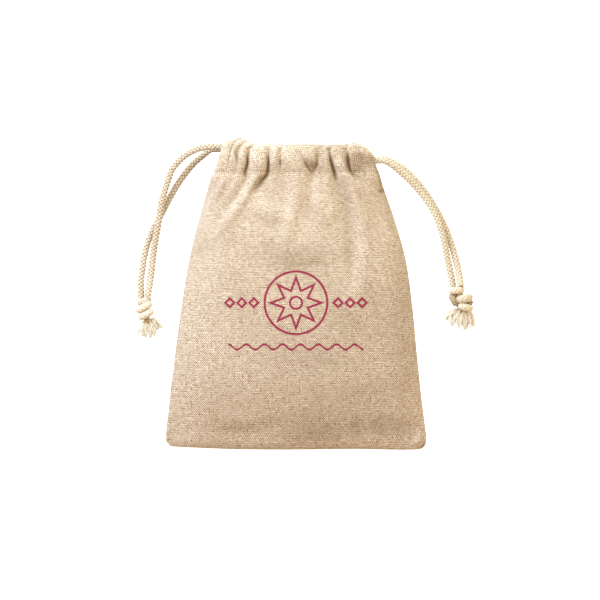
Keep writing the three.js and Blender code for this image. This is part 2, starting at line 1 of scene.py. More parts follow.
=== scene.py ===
"""Small linen drawstring pouch, dressed in woven cloth and braided cotton cord round its CAD frame."""

from functools import reduce
from itertools import accumulate
from math import cos, exp, hypot, inf, pi, radians, sin, sqrt, tau

import bpy
from bpy.props import FloatProperty, FloatVectorProperty, PointerProperty
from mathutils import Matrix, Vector, noise


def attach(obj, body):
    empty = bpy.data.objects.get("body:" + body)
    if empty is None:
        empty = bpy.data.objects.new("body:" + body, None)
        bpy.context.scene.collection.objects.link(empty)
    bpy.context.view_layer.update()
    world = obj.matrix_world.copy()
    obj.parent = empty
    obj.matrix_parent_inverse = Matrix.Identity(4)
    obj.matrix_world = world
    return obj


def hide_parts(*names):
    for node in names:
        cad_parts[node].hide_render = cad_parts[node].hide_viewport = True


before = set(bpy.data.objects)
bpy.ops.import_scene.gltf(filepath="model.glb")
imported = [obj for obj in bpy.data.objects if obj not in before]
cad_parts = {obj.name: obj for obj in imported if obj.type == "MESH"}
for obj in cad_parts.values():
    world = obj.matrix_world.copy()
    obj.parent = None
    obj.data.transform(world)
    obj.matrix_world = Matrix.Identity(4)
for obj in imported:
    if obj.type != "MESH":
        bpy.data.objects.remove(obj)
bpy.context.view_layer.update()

bl_info = {
    "name": "Drawstring pouch",
    "version": (1, 0, 0),
    "blender": (4, 5, 0),
    "location": "3D View > Sidebar > Pouch",
    "description": "Builds the cloth, cords and stage of a small drawstring pouch",
    "category": "Object",
}

# Tables and routes below are in millimetres, in the frame of the CAD solids.
MM = 0.001
UV_UNIT = 100

# Heights of the layers at the casings
BACK_CORD_Z = 4.27
BACK_HEM_Z = 7.04
FRONT_HEM_Z = 12.64
FRONT_CORD_Z = 15.41
FRONT_FACE_Z = 18.68
SEAM_Z = 1.6
CASING_EDGE_Z = FRONT_FACE_Z - 3.1

# Places along the length of the pouch
BOTTOM_Y = -78
SLIT_Y = 51.9
STITCH_Y = 60.4
CROWN_Y = 75
CORNER_RADIUS = 4
BOTTOM_EASE = 20
HEM_LEFT = -29.2
HEM_RIGHT = 29.0

# Folds: the share that shows in the body, the narrow slit's breadth and share, and its share in the back
BODY_FOLD = 0.85
SLIT_WIDTH = 0.42
SLIT_SHARE = [(50, 0), (57, 0.3), (62, 0.65), (69, 0.7), (72, 0.35), (75, 0.2)]
BACK_SLIT = 0.6

# Casing: how far it puffs out, how folds scallop its top edge, its roll and the hem inside it
PUFF = 3.5
PUFF_ROUNDING = 0.6
SCALLOP = 0.38
BACK_TOP_LOWER = 0.6
ROLL_DEPTH = 2.4
HEM_PLAY = 0.4
CASING_ROWS = 13
ROLL_ROWS = 12
HEM_ROWS = 5

# Groove of the stitch line, the rise of the casing above it, and the stitches' points and gaps
STITCH_DEPTH = 0.22
STITCH_BREADTH = 0.8
STITCH_RISE = 0.3
STITCH_POINTS = 6
STITCH_GAP = 2

# Columns to each side with which the weave is evened out
EVEN_REACH = 9

# Colours of thick places in the yarn and of flecks
SLUB_COLOUR = (0.80, 0.70, 0.55, 1)
FLECK_COLOUR = (0.16, 0.09, 0.04, 1)

# Cloth's edges: y, left, right
SIDES = [
    (BOTTOM_Y, -65.4, 65.4), (-70.6, -65.2, 65.2), (-52.6, -63.4, 63), (-28.6, -60.5, 60.5),
    (-4.6, -57.3, 58.2), (19.4, -53.2, 54.6), (43.4, -47.1, 47.5), (55.4, -43.3, 43), (60.4, -41.3, 41.4),
    (64.6, -39.3, 39.6), (68.4, -38.1, 39.1), (72.4, -37.2, 36.1), (76, -36.8, 32.7), (79, -35.8, 31.4),
]

# Top edge of the front: x, y
MOUTH = [
    (-38, 76.9), (-34, 77.9), (-30, 77.9), (-25, 76.1), (-15, 75.4), (10, 75.3), (23, 75.3), (29, 75.9),
    (34, 75.8),
]

# Bottom edge: x, rise above BOTTOM_Y
BOTTOM = [(-66, 2.2), (-58, 1.7), (-30, 0.6), (0, 0.4), (30, 0.7), (55, 0.3), (66, 0.8)]

# Height of the front's outer face up the middle of the body: y, z
BELLY = [
    (BOTTOM_Y, 1.6), (-76.6, 3.1), (-73.8, 4.3), (-69, 5.1), (-62, 6.7), (-50, 9.6), (-40, 11), (-20, 11.6),
    (10, 11.8), (32, 12.9), (44, 14.6), (52, 16.6), (60.4, 19.2),
]

# How square the front's cross-section is: y, flatness, roundness
DOME = [(BOTTOM_Y, 3, 0.74), (18, 3.8, 0.66), (38, 6.4, 0.56), (56, 9.5, 0.55)]

# Gathers of the front, left to right. Each is a list of y, x, depth and breadth.
FRONT_FOLDS = [
    [(26, -47.8, 0, 3), (42, -43.4, 0.1, 3), (54, -38.3, 0.2, 2.4), (60.4, -34.9, 0.5, 2.2),
     (68, -33.4, 0.8, 1.8), (72, -32.4, 0.8, 1.4), (76.5, -30.2, 0.8, 1.2)],
    [(26, -45, 0, 3), (42, -40.6, 0.2, 3), (52, -34.8, 0.4, 3), (60.4, -30, 0.9, 2.6), (64.9, -29, 1.4, 2.1),
     (69.6, -29.4, 1.8, 1.5), (72.8, -28, 1.1, 1.5), (75.7, -25.8, 0.8, 1.4)],
    [(24, -43, 0, 5), (32, -39.8, 0.5, 4.4), (41, -34.6, 1.1, 3.8), (50.4, -27.6, 1.9, 3.2),
     (57.4, -25, 2.7, 2.6), (60.9, -25.3, 3.5, 2.1), (64.9, -24.1, 3.5, 1.9), (68.4, -24, 2.6, 1.7),
     (71.5, -23.2, 1.1, 1.6), (74.9, -21.8, 0.7, 1.5)],
    [(42, -26, 0, 5), (49, -21.8, 0.8, 3.4), (53.6, -18.8, 1.9, 2.7), (56.2, -17.4, 2.6, 2.4),
     (59.4, -14.6, 3.4, 2), (64.4, -13.7, 3.5, 1.7), (68.2, -13.8, 2.5, 1.6), (71, -13.4, 1, 1.5),
     (73.6, -13, 0.7, 1.4)],
    [(34, -6, 0, 4.5), (46, -6.3, 0.7, 3.6), (60.4, -7.6, 1.3, 2.4), (66.4, -7.8, 1.8, 1.8),
     (70, -7.6, 1, 1.6), (73.5, -6.8, 0.6, 1.5)],
    [(26, 4.6, 0, 3.4), (38, 6, 0.7, 2.8), (51.9, 7.9, 1.1, 2.5), (60.4, 7.5, 2, 2.6), (64, 5.5, 2.2, 2.4),
     (68.9, 2.7, 1.3, 2.2), (72, 1.6, 0.5, 2), (75, 0.6, 0.2, 1.6)],
    [(52, 8.8, 0, 3), (60.4, 9.1, 1.4, 2.4), (64, 10.2, 1.9, 2.3), (68.9, 11.4, 1.2, 2.1), (72, 11.8, 0.5, 2),
     (75, 12, 0.2, 1.8)],
    [(-8, 27.6, 0, 9), (2.4, 28.4, 0.6, 8), (16, 28.8, 1.2, 6.6), (29, 28, 1.7, 5.4), (42.4, 25.2, 2.2, 4.4),
     (49.9, 22.9, 2.6, 3.6), (57.4, 19.9, 3.2, 2.5), (61.5, 18.9, 3.6, 2), (65.4, 17.5, 3.3, 1.7),
     (69, 16.9, 2, 1.5), (72, 16.6, 1.1, 1.4), (75.4, 16.2, 0.7, 1.4)],
    [(28, 44.5, 0, 5), (36.4, 42, 1, 4.6), (42.4, 39.4, 1.4, 4), (52.4, 33.4, 1.9, 3.4),
     (57.4, 29.6, 2.4, 2.8), (61.5, 27, 3.1, 2.3), (64.9, 25.9, 3.3, 2.2), (67.8, 25.7, 2.5, 2),
     (71, 25.2, 1, 1.6), (74.6, 24.3, 0.7, 1.5)],
    [(30, 48.4, 0, 2), (50, 40.6, 0.3, 2.6), (60.4, 36, 0.6, 2.6), (68, 33, 0.7, 2.4), (75, 30.5, 0.6, 2)],
]

# Gathers of the back: y, x, height and breadth
BACK_FOLDS = [
    [(38, -38, 0, 3), (60.4, -31, 0.9, 2.4), (75, -28, 1, 1.8)],
    [(30, -25, 0, 3), (60.4, -20.5, 0.9, 2.4), (75, -19, 1, 1.8)],
    [(42, -13, 0, 3), (60.4, -10, 0.8, 2.2), (75, -9, 0.9, 1.6)],
    [(34, 0, 0, 3), (60.4, 0.5, 0.9, 2.4), (75, 1, 1, 1.8)],
    [(40, 14, 0, 3), (60.4, 11, 0.8, 2.2), (75, 10, 0.9, 1.6)],
    [(28, 27, 0, 3), (60.4, 22.5, 0.9, 2.4), (75, 20, 1, 1.8)],
    [(40, 40, 0, 3), (60.4, 32, 0.9, 2.6), (75, 28, 1, 1.8)],
]


def strokes(rows):
    """Soft strokes as points, depth and breadth, from rows of depth, breadth, and x and y of each point."""
    return [(list(zip(row[2::2], row[3::2])), row[0], row[1]) for row in rows]


# Small creases
CREASES = strokes([
    (-1.8, 2.9, 0.8, 60, 0.4, 50, -1.4, 40, -5.2, 27),
    (0.35, 1.2, -36.4, 66, -34, 60, -35, 54),
    (-1.7, 3.4, 22.5, 62, 28, 52, 33, 38, 34.5, 20, 32, 2, 27, -7),
    (0.9, 0.5, 39.1, 64.2, 40.9, 59.4, 42.4, 54.4, 43.2, 51.5),
    (-1.7, 2.6, -18.4, 62, -21.8, 54, -30.2, 42, -41, 28),
    (0.3, 1.5, -2, 66, -1.6, 61),
    (-0.35, 1.8, 14, 62, 15.5, 54, 17, 47),
    (-2.1, 4.2, -19, 46, -14, 41, -7, 38),
    (-2.1, 4.2, 9, 50, 14, 41, 17, 34),
    (-1.3, 2.5, 24, 61, 33, 53, 41, 45, 48, 36),
    (-1.0, 2.2, -33, 61, -38, 52, -44.5, 42),
    (0.35, 1.6, -63, -72, -58, -68, -50, -66),
    (0.35, 1.1, 56.8, -75.4, 58.6, -72, 61.6, -68.4),
    (-2.8, 2.2, 59.8, -76.2, 61.2, -73.4, 63.4, -70),
    (1.1, 0.8, 62, -77.8, 63.2, -76.2, 64.4, -74.6),
    (-0.55, 1.2, 28.5, -45.5, 38, -43.6, 47, -40),
    (0.3, 1.6, 12, -66, 13, -58, 12.5, -50),
    (0.35, 1.7, 24, -67, 24.5, -58, 26, -50),
    (0.35, 1.7, 36, -67, 36.5, -58, 39, -50),
    (0.3, 1.8, -16, -67, -17, -60, -15, -54),
    (0.35, 2.2, -40, -66, -38, -60, -34, -55),
])

# Cloth that lies in soft shade
SHADES = strokes([
    (1.0, 4, 26.5, 66.4, 31, 66, 38, 65.6),
    (0.7, 3, 27, 63, 33, 60),
    (0.5, 3, 30, 69.5, 36, 68),
    (0.7, 2.4, -6, 75, 10, 75, 28, 74),
    (0.4, 3, 5, 70, 30, 69),
    (0.36, 7, -22, 23, 0, 20, 22, 24),
    (0.15, 2.4, 9, 57, 8, 46, 6, 34),
    (0.2, 5, -37, 68, -26, 70),
    (0.75, 2.4, -14.8, 60, -17.4, 56, -21, 53),
    (0.35, 7, 14, -10, 28, -14, 38, -16),
    (0.22, 6, -36, 32, -28, 28),
    (0.3, 5, 44, -66, 58, -66),
    (0.4, 4, -10, 17, 4, 15, 20, 19),
    (0.2, 5, -50, 28, -44, 20),
    (0.16, 9, -40, 6, -20, -16),
    (0.22, 7, -6, -34, 30, -30),
    (0.16, 15, -48, 8, 0, 6, 50, -4),
    (0.2, 16, -34, -24, 0, -26, 48, -30),
    (0.9, 1.8, 37.3, 69.5, 37.7, 65.5),
    (0.6, 3.2, -42, -65.4, -30, -66, -14, -65),
    (0.5, 7, -12, -64, 20, -66, 56, -63),
    (0.4, 4, -8, -71, 10, -72, 22, -70),
    (0.3, 2, 30, -62, 30, -73),
    (0.35, 2, 41, -62, 42, -72),
    (0.2, 7, 2, -52, 30, -50, 62, -48),
    (0.3, 8, 48, 14, 52, -16, 57, -50),
    (0.35, 3.2, 37, 6, 40, -10),
    (0.4, 2.8, 20, 60, 24, 50, 26, 40, 26.6, 26, 26.6, 14),
    (0.85, 2.8, 4.4, 67, 8.8, 63.8, 11, 67),
    (0.2, 3.2, -21, 65, 4, 65.2, 23, 65),
    (0.68, 1.2, 25.8, 70, 26.2, 61.4),
    (0.4, 0.8, -24, 69, -24.8, 60),
    (0.68, 1.1, 17.2, 68, 19.6, 58),
    (0.4, 1.0, -13.8, 68, -14.4, 60, -19.4, 53),
    (0.3, 0.8, -29.4, 70, -29, 65),
    (0.4, 1.0, -7.6, 69, -7.6, 63),
    (0.8, 0.5, 39.1, 64.2, 40.9, 59.4, 42.4, 54.4, 43.2, 51.5),
    (0.38, 0.6, -62, -75.9, -30, -77.2, 0, -77.5, 30, -77.2, 55, -77.6, 63, -76.9),
    (0.7, 0.8, 62, -77.8, 63.2, -76.2, 64.4, -74.6),
])

# How far the casing's face drops towards its ends: share of the width, drop
CASING_DROP = [(0, 1.6), (0.06, 0.4), (0.12, 0), (0.72, 0), (0.84, 0.9), (1, 2.8)]

# Free strands, from the casing to the knot
LEFT_FRONT_ROUTE = [
    (-38.3, 73.7, FRONT_CORD_Z), (-42.6, 73.7, FRONT_CORD_Z), (-47.2, 73.1, 14.4), (-51.8, 71.5, 12.4),
    (-55.9, 69, 10.6), (-59.4, 65.8, 9), (-62, 62.3, 7.8), (-63.6, 58.2, 6.9), (-64.9, 54.4, 6.4),
    (-66.1, 50.3, 6.2), (-67.2, 46.6, 6.2), (-67.8, 42.8, 6.2), (-68.4, 38.8, 6.2), (-69, 34.8, 6),
    (-69.6, 31.2, 5.4), (-70.6, 26, 4), (-71.4, 20.8, 2.6), (-71.9, 16.4, 1.95), (-72.4, 12, 1.9),
    (-73, 7.6, 2), (-73.6, 3.4, 3), (-74.2, -0.4, 4.2), (-74.5, -2.1, 4.6),
]
LEFT_BACK_ROUTE = [
    (-38.3, 73, BACK_CORD_Z), (-42.6, 72.8, BACK_CORD_Z), (-46.6, 69.9, 3.2), (-50.2, 67, 2.2),
    (-53.4, 63.6, 1.9), (-56.6, 59.4, 1.9), (-59.4, 55.4, 1.9), (-61.6, 51.6, 1.9), (-63.8, 47.6, 1.9),
    (-65.7, 43.9, 1.9), (-67.6, 40.3, 1.9), (-69.6, 36.7, 1.9), (-71.7, 32.8, 1.9), (-73.5, 28.8, 1.9),
    (-74.9, 24.8, 1.9), (-75.8, 20.8, 1.9), (-76.6, 16.4, 1.9), (-77.2, 12, 1.9), (-77.8, 7.6, 1.9),
    (-77.9, 3.2, 1.9), (-77.7, -1.2, 1.9), (-77.5, -3, 1.9),
]
RIGHT_FRONT_ROUTE = [
    (39.4, 66.8, FRONT_CORD_Z), (43.8, 66.8, FRONT_CORD_Z), (48.2, 64.5, 13.7), (52.4, 61.1, 11.6),
    (56.2, 57.7, 9.8), (59.6, 54.2, 8.2), (62.9, 50.4, 7), (66, 46.3, 6.4), (68.7, 42, 6.2),
    (70.8, 37.4, 6.1), (72.5, 32.7, 5.7), (74, 27.4, 4.9), (75.1, 22, 3.7), (76.1, 16.8, 2.4),
    (77.2, 11.6, 1.95), (78.1, 7.4, 1.9), (78.7, 3.4, 1.9),
]
RIGHT_BACK_ROUTE = [
    (39.4, 67.4, BACK_CORD_Z), (43.8, 68, BACK_CORD_Z), (47.6, 66.8, 3.1), (52.1, 64.3, 2.3),
    (56.4, 60.9, 1.9), (60.2, 57, 1.9), (63.6, 52.8, 1.9), (66.7, 48.4, 1.9), (69.6, 43.7, 1.9),
    (72.2, 39, 1.9), (74.6, 34.1, 1.9), (76.6, 29, 1.9), (78.4, 23.8, 1.9), (79.9, 18.6, 1.9),
    (81.1, 13.6, 1.9), (81.9, 9, 2.6), (82.3, 5.8, 3.8), (82.3, 4.1, 4.3),
]

# Runs inside the casings: front run, back run, and the place of the turn between them
LEFT_CASING = (
    [(-38.3, 73.7), (-33, 73.7), (-25, 72.1), (-12, 71.2), (8, 71), (20, 70.8)],
    [(20, 70.8), (8, 70.6), (-12, 70.8), (-25, 71.9), (-33, 73.2), (-38.3, 73)],
    (29, 70.6),
)
RIGHT_CASING = (
    [(39.4, 66.8), (34, 66.8), (24, 66.4), (8, 66.5), (-12, 66.7), (-22, 67.2)],
    [(-22, 67.1), (-12, 66.6), (8, 66.4), (24, 66.4), (34, 66.7), (39.4, 67.4)],
    (-29.2, 68.3),
)

# Wraps of the knots: middle, turn in degrees, half length and half height of the ring, girth, lightness; a
# lightness below 1 is painted shade on a wrap that lies low or deep in the knot
LEFT_WRAPS = [
    ((-76.0, -3.1, 3.4), 14, 2.3, 1.5, 1.0, 0.8),
    ((-76.2, -6.2, 4.0), 30, 2.9, 2.0, 1.14, 1),
    ((-75.3, -9.9, 4.0), 29, 2.6, 2.0, 1.14, 1),
]
RIGHT_WRAPS = [
    ((80.3, 2.2, 3.9), 3, 2.3, 1.9, 1.1, 1),
    ((78.9, -2.5, 3.0), -60, 1.8, 1.3, 1.08, 0.45),
    ((84.3, -1.9, 3.9), 10, 2.3, 1.9, 1.3, 0.85),
    ((84.9, -6.2, 3.7), -16, 2.2, 1.8, 1.16, 1),
]

# Stubs of cord that go in under the wraps
LEFT_STUBS = [
    [(-74.5, -2.1, 4.6), (-74.8, -4.2, 4.2), (-75.4, -7, 3.4), (-76, -10, 2.8)],
    [(-77.5, -3, 1.9), (-77.4, -5, 2), (-76.8, -7.6, 2.2), (-76, -10, 2.4)],
    [(-75.6, -9, 2.6), (-75.0, -11.6, 2.3), (-74.2, -13.8, 2.1)],
]
RIGHT_STUBS = [
    [(78.7, 3.4, 1.9), (79, 1.6, 2), (79.8, -1, 2.2), (81, -3.6, 2.4)],
    [(82.3, 4.1, 4.3), (82.2, 2.2, 4), (82, 0, 3.4), (82, -3.6, 2.8)],
    [(81.4, -3, 2.6), (82.2, -5.8, 2.2), (82.9, -8.4, 1.9)],
    [(82.6, -3.4, 2.3), (84.5, -4.1, 2.2), (86.6, -4, 2), (88, -4.6, 1.9)],
]

RIGHT_STRAYS = [[(77.5, -8.6, 1.6), (75.8, -7.9, 1.2), (74.2, -7.0, 0.6)]]

# Tufts: middle of the root, its width, headings of the outer locks at the root and at the tip, and reach
LEFT_TUFT = ((-74.0, -12.6, 2.4), 4.2, (-132, -8), (-100, -62), 9.4)
RIGHT_TUFT = ((83.3, -7.7, 2.4), 7, (-170, -30), (-99, -72), 10.6)
LOCKS = 28
LOCK_STEPS = 14
LOCK_RADIUS = 0.76
FIBRES = 10
# Lightness at a fibre's root: painted shade where it goes in under the knot or into the cloth
ROOT_LIGHT = 0.58
FLOOR_GAP = 0.03

# Braids: strands each way, weave in and out, share of the plait length, the crevices' end and the lightness in
# them; the darkening of the crevices between strands is painted shade
CORD_PLAIT = (4, 0.34, 1.0, 1.64, 0)
DEEP_PLAIT = (4, 0.34, 1.0, 1.8, 0)
KNOT_PLAIT = (5, 0.2, 0.84, 1.46, 0.4)
BRAID_RADIUS = 1.0
STRAND_HALF_HEIGHT = 0.51
STRAND_SIDES = 6
CREVICE = 0.56

# Lightness of the cords' tips, and the ways from the tip between which it fades
TIP_LIGHT = 0.95
TIP_FADE = (12, 50)

# Stage, in metres but for the camera's lens
FRAME_WIDTH = 0.3
LENS = 200
SENSOR_WIDTH = 36
AIM = Vector((0.002, -0.0026, 0.006))
FLOOR_REACH = 3
FLOOR_GLOW = 0.95
BACKDROP_COLOUR = (1.0, 0.8, 0.598, 1)
BACKDROP_STRENGTH = 0.855

# Lights: name, place, size, power and colour
LIGHTS = [
    ("window_light", (-0.26, 0.20, 0.22), 0.24, 1.68, (0.644, 0.772, 1.0)),
    ("key_light", (0.02, 0.16, 0.12), 0.16, 0.26, (0.798, 0.957, 1.0)),
    ("side_fill", (0.42, -0.18, 0.09), 0.3, 0.45, (1.0, 0.9, 0.8)),
]


def length_property(name, description, default):
    return FloatProperty(name=name, description=description, default=default, unit="LENGTH")


def colour_property(name, description, default):
    return FloatVectorProperty(name=name, description=description, default=default, subtype="COLOR")


class PouchSizes(bpy.types.PropertyGroup):
    """Sizes that a user would change."""

    cloth_thickness: length_property("Cloth thickness", "Thickness of the woven cloth", 0.0008)
    thread_pitch: length_property("Thread pitch", "Distance from one thread to the next", 0.00062)
    plait_length: length_property("Plait length", "Length of cord in which a strand goes once round", 0.0076)
    strand_width: length_property("Strand width", "Width of one strand of the braided cord", 0.00142)
    fibre_width: length_property("Fibre width", "Width of one lock of frayed cotton", 0.00036)
    print_line: length_property("Print line", "Width of the printed lines", 0.00115)


class PouchColours(bpy.types.PropertyGroup):
    """Colours that a user would change."""

    cloth_light: colour_property("Cloth, light threads", "Colour of the lighter threads", (0.765, 0.668, 0.53))
    cloth_dark: colour_property("Cloth, dark threads", "Colour of the darker threads", (0.305, 0.205, 0.121))
    # Painted shade: the cloth is tinted to this colour deep in its creases, where shade falls
    crease_shade: colour_property("Painted shade in creases", "Colour of the cloth deep in its creases", (0.34, 0.20, 0.09))
    shade: colour_property("Cloth in shade", "Tint of the cloth in soft shade", (0.56, 0.49, 0.41))
    cord_light: colour_property("Cord, outside", "Colour of its strands", (0.82, 0.74, 0.575))
    # Painted shade: the cord takes this colour deep between its strands, where shade falls
    cord_dark: colour_property("Cord, painted shade between strands", "Colour deep between strands", (0.24, 0.125, 0.04))
    frayed: colour_property("Frayed ends", "Colour of the frayed cotton", (0.97, 0.92, 0.77))
    ink: colour_property("Print", "Colour of the printed ornament", (0.27, 0.012, 0.055))
    floor: colour_property("Floor", "Colour of the floor", (0.8, 0.8, 0.8))


def in_mm(size):
    """A size that the user sets, in millimetres."""
    return getattr(bpy.context.scene.pouch_sizes, size) / MM


def tint(colour):
    """A colour that the user sets, with its alpha."""
    return (*getattr(bpy.context.scene.pouch_colours, colour), 1)


def mix(a, b, share):
    return a + (b - a) * share


def clamp(value, low=0, high=1):
    return min(max(value, low), high)


def smooth(value, low, high):
    share = clamp((value - low) / (high - low))
    return share * share * (3 - 2 * share)


def along(rows, place, column=1):
    """Smooth value of a table's column at a place along its first column."""
    last = len(rows) - 1
    if place <= rows[0][0]:
        return rows[0][column]
    if place >= rows[last][0]:
        return rows[last][column]
    i = 0
    while place > rows[i + 1][0]:
        i += 1

    def slope(n):
        a, b = rows[max(n - 1, 0)], rows[min(n + 1, last)]
        return (b[column] - a[column]) / (b[0] - a[0])

    width = rows[i + 1][0] - rows[i][0]
    t = (place - rows[i][0]) / width
    start, end = rows[i][column], rows[i + 1][column]
    bend = (1 - t) * slope(i) * width - t * slope(i + 1) * width
    return start + t * (end - start) + t * (1 - t) * (bend - (1 - 2 * t) * (end - start))


def ways_along(points):
    """Way from the first point to each of them."""
    return [0.0, *accumulate((b - a).length for a, b in zip(points, points[1:]))]


def add_object(name, data):
    thing = bpy.data.objects.new(name, data)
    bpy.context.scene.collection.objects.link(thing)
    return thing


def new_piece(name, points, faces, places, masks, look, replaced=()):
    """A mesh piece of the pouch, from points in millimetres."""
    mesh = bpy.data.meshes.new(name)
    mesh.from_pydata([(x * MM, y * MM, z * MM) for x, y, z in points], [], faces)
    mesh.shade_smooth()
    uvs = mesh.uv_layers.new(name="place")
    uvs.data.foreach_set("uv", [way / UV_UNIT for loop in mesh.loops for way in places[loop.vertex_index]])
    for mask, values in masks.items():
        mesh.attributes.new(mask, "FLOAT", "POINT").data.foreach_set("value", values)
    mesh.materials.append(finish(look))
    piece = add_object(name, mesh)
    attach(piece, "root")
    if replaced:
        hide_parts(*replaced)
    return piece


# Shader wiring


def arithmetic(operation):
    return lambda value, *others: value.wires.math(operation, value, *others)


class Value:
    """A number, colour or place in a shader. Arithmetic on it adds Math nodes to its tree."""

    def __init__(self, wires, socket):
        self.wires, self.socket = wires, socket

    __add__ = arithmetic("ADD")
    __sub__ = arithmetic("SUBTRACT")
    __mul__ = arithmetic("MULTIPLY")
    __truediv__ = arithmetic("DIVIDE")
    __mod__ = arithmetic("FLOORED_MODULO")
    __pow__ = arithmetic("POWER")
    __abs__ = arithmetic("ABSOLUTE")


class Wires:
    """Short calls that add nodes to a tree and join them."""

    def __init__(self, tree):
        self.tree = tree

    def put(self, value, socket):
        if isinstance(value, Value):
            self.tree.links.new(value.socket, socket)
        else:
            socket.default_value = value

    def node(self, kind, inputs=(), **settings):
        node = self.tree.nodes.new(kind)
        for key, value in settings.items():
            setattr(node, key, value)
        for key, value in dict(inputs).items():
            self.put(value, node.inputs[key])
        return node

    def value(self, kind, inputs=(), output=0, **settings):
        return Value(self, self.node(kind, inputs, **settings).outputs[output])

    def values(self, node):
        """All outputs of a node, by name."""
        return {socket.name: Value(self, socket) for socket in node.outputs}

    def math(self, operation, *values):
        return self.value("ShaderNodeMath", enumerate(values), operation=operation)

    def blend(self, factor, a, b, blend_type="MIX"):
        inputs = {0: factor, 6: a, 7: b}
        return self.value("ShaderNodeMix", inputs, 2, data_type="RGBA", blend_type=blend_type)

    def step(self, value, low, high):
        inputs = enumerate((value, low, high, 0.0, 1.0))
        return self.value("ShaderNodeMapRange", inputs, interpolation_type="SMOOTHSTEP")

    def speckle(self, x, y, z, detail=1.0):
        place = self.value("ShaderNodeCombineXYZ", {0: x, 1: y, 2: z})
        return self.value("ShaderNodeTexNoise", {"Vector": place, "Scale": 1.0, "Detail": detail})

    def mask(self, name):
        return self.value("ShaderNodeAttribute", output="Fac", attribute_name=name)

    def scaled(self, place, scale):
        return self.value("ShaderNodeVectorMath", {0: place, 1: (scale, scale, scale)}, operation="MULTIPLY")

    def apart(self, place):
        node = self.node("ShaderNodeSeparateXYZ", {0: place})
        return Value(self, node.outputs[0]), Value(self, node.outputs[1])

    def bump(self, height, strength, distance):
        return self.value("ShaderNodeBump", {"Strength": strength, "Distance": distance, "Height": height})


def effect(name, inputs, outputs):
    """A shader node group of a place and numbers: its wires, its inputs and its output sockets."""
    tree = bpy.data.node_groups.new(name, "ShaderNodeTree")
    tree.interface.new_socket(name="Place", in_out="INPUT", socket_type="NodeSocketVector")
    for way, labels in (("INPUT", inputs), ("OUTPUT", outputs)):
        for label in labels:
            tree.interface.new_socket(name=label, in_out=way, socket_type="NodeSocketFloat")
    wires = Wires(tree)
    return wires, wires.values(wires.node("NodeGroupInput")), wires.node("NodeGroupOutput").inputs


def weave_effect():
    """Plain weave: the height of its threads, their shade, thick places and dark flecks."""
    wires, source, target = effect("Plain weave", ["Pitch", "Relief"], ["Height", "Shade", "Slub", "Fleck"])
    across, up = wires.apart(source["Place"])
    pitch, contrast_in_light = source["Pitch"], source["Relief"]
    drift = wires.speckle(across * 0.03, up * 0.03, 3.0) * 2.2
    warp, weft = (across + drift) / (pitch * 0.806), (up + drift) / pitch
    warp_id, weft_id = wires.math("FLOOR", warp), wires.math("FLOOR", weft)
    warp_arch, weft_arch = (wires.math("SINE", wires.math("FRACT", way) * pi) for way in (warp, weft))
    over = (warp_id + weft_id) % 2.0
    warp_top = warp_arch ** 0.6 * (weft_arch * 0.4 + 0.6)
    weft_top = weft_arch ** 0.6 * (warp_arch * 0.4 + 0.6)
    wires.put(wires.value("ShaderNodeMix", {0: over, 2: warp_top, 3: weft_top}), target["Height"])

    # Light and dark: runs of single weft threads, every second weft in stretches, and chance at each crossing
    weft_run = wires.speckle(across * 0.5, weft_id * 5.37, 0.0, 1.5)
    stretch = wires.speckle(across * 0.35, wires.math("FLOOR", weft_id * 0.5) * 5.37, 3.0)
    stripe = (weft_id % 2.0 - 0.5) * (stretch * 1.2 - 0.1)
    crossing = wires.value("ShaderNodeCombineXYZ", {0: warp_id, 1: weft_id})
    chance = wires.value("ShaderNodeTexWhiteNoise", {"Vector": crossing}, "Value", noise_dimensions="2D")
    checks = (over - 0.5) * 1.15 + ((chance - 0.5) * 0.95 + stripe)
    # The weave's colour contrast is faded where the light falls strongest: painted light
    runs = (weft_run - 0.49) * (contrast_in_light + 0.9)
    wires.put(checks * contrast_in_light + runs + 0.5, target["Shade"])

    slub = wires.speckle(across * 0.11, weft_id * 3.19, 21.0)
    wires.put(wires.step(slub, 0.69, 0.76), target["Slub"])
    fleck = wires.speckle(across * 0.9, up * 1.2, 37.0)
    wires.put(wires.step(fleck, 0.80, 0.84), target["Fleck"])
    return wires.tree


def ornament_effect():
    """Line ornament of a ringed star between rows of lozenges over a wavy rule, as a mask."""
    wires, source, target = effect("Printed ornament", ["Line"], ["Ink"])
    x, y = wires.apart(source["Place"])
    y, aside = y + 4.0, abs(x)
    half, soft = source["Line"] * 0.5, 0.12

    def line(distance):
        return wires.step(half - abs(distance), -soft, soft)

    radius = wires.math("SQRT", x ** 2.0 + y ** 2.0)
    sector = pi / 8
    folded = wires.math("PINGPONG", wires.math("ARCTAN2", y, x), sector)
    tip, notch = 12.6, 6.4
    normal = Vector((notch * sin(sector), tip - notch * cos(sector))).normalized()
    along_tip, across_tip = radius * wires.math("COSINE", folded), radius * wires.math("SINE", folded)
    star = along_tip * normal.x + across_tip * normal.y - tip * normal.x
    ring, middle, rows_start, rows_end, lozenge_width, lozenge_half = 15.6, 3.0, 18.0, 36.0, 6.0, 2.2
    rule_drop, rule_half, wave_height, wave_length = 22.0, 33.75, 1.3, 9
    cell = (aside - rows_start) % lozenge_width - lozenge_width / 2
    lozenge = (abs(cell) + abs(y) - lozenge_half) * sqrt(0.5)
    wave = wires.math("SINE", x * (tau / wave_length)) * wave_height
    in_rows = wires.math("GREATER_THAN", aside, rows_start) * wires.math("LESS_THAN", aside, rows_end)
    marks = [
        line(star),
        line(radius - ring),
        line(radius - middle),
        line(lozenge) * in_rows,
        line(y + rule_drop - wave) * wires.math("LESS_THAN", aside, rule_half),
    ]
    wires.put(reduce(lambda ink, mark: wires.math("MAXIMUM", ink, mark), marks), target["Ink"])
    return wires.tree


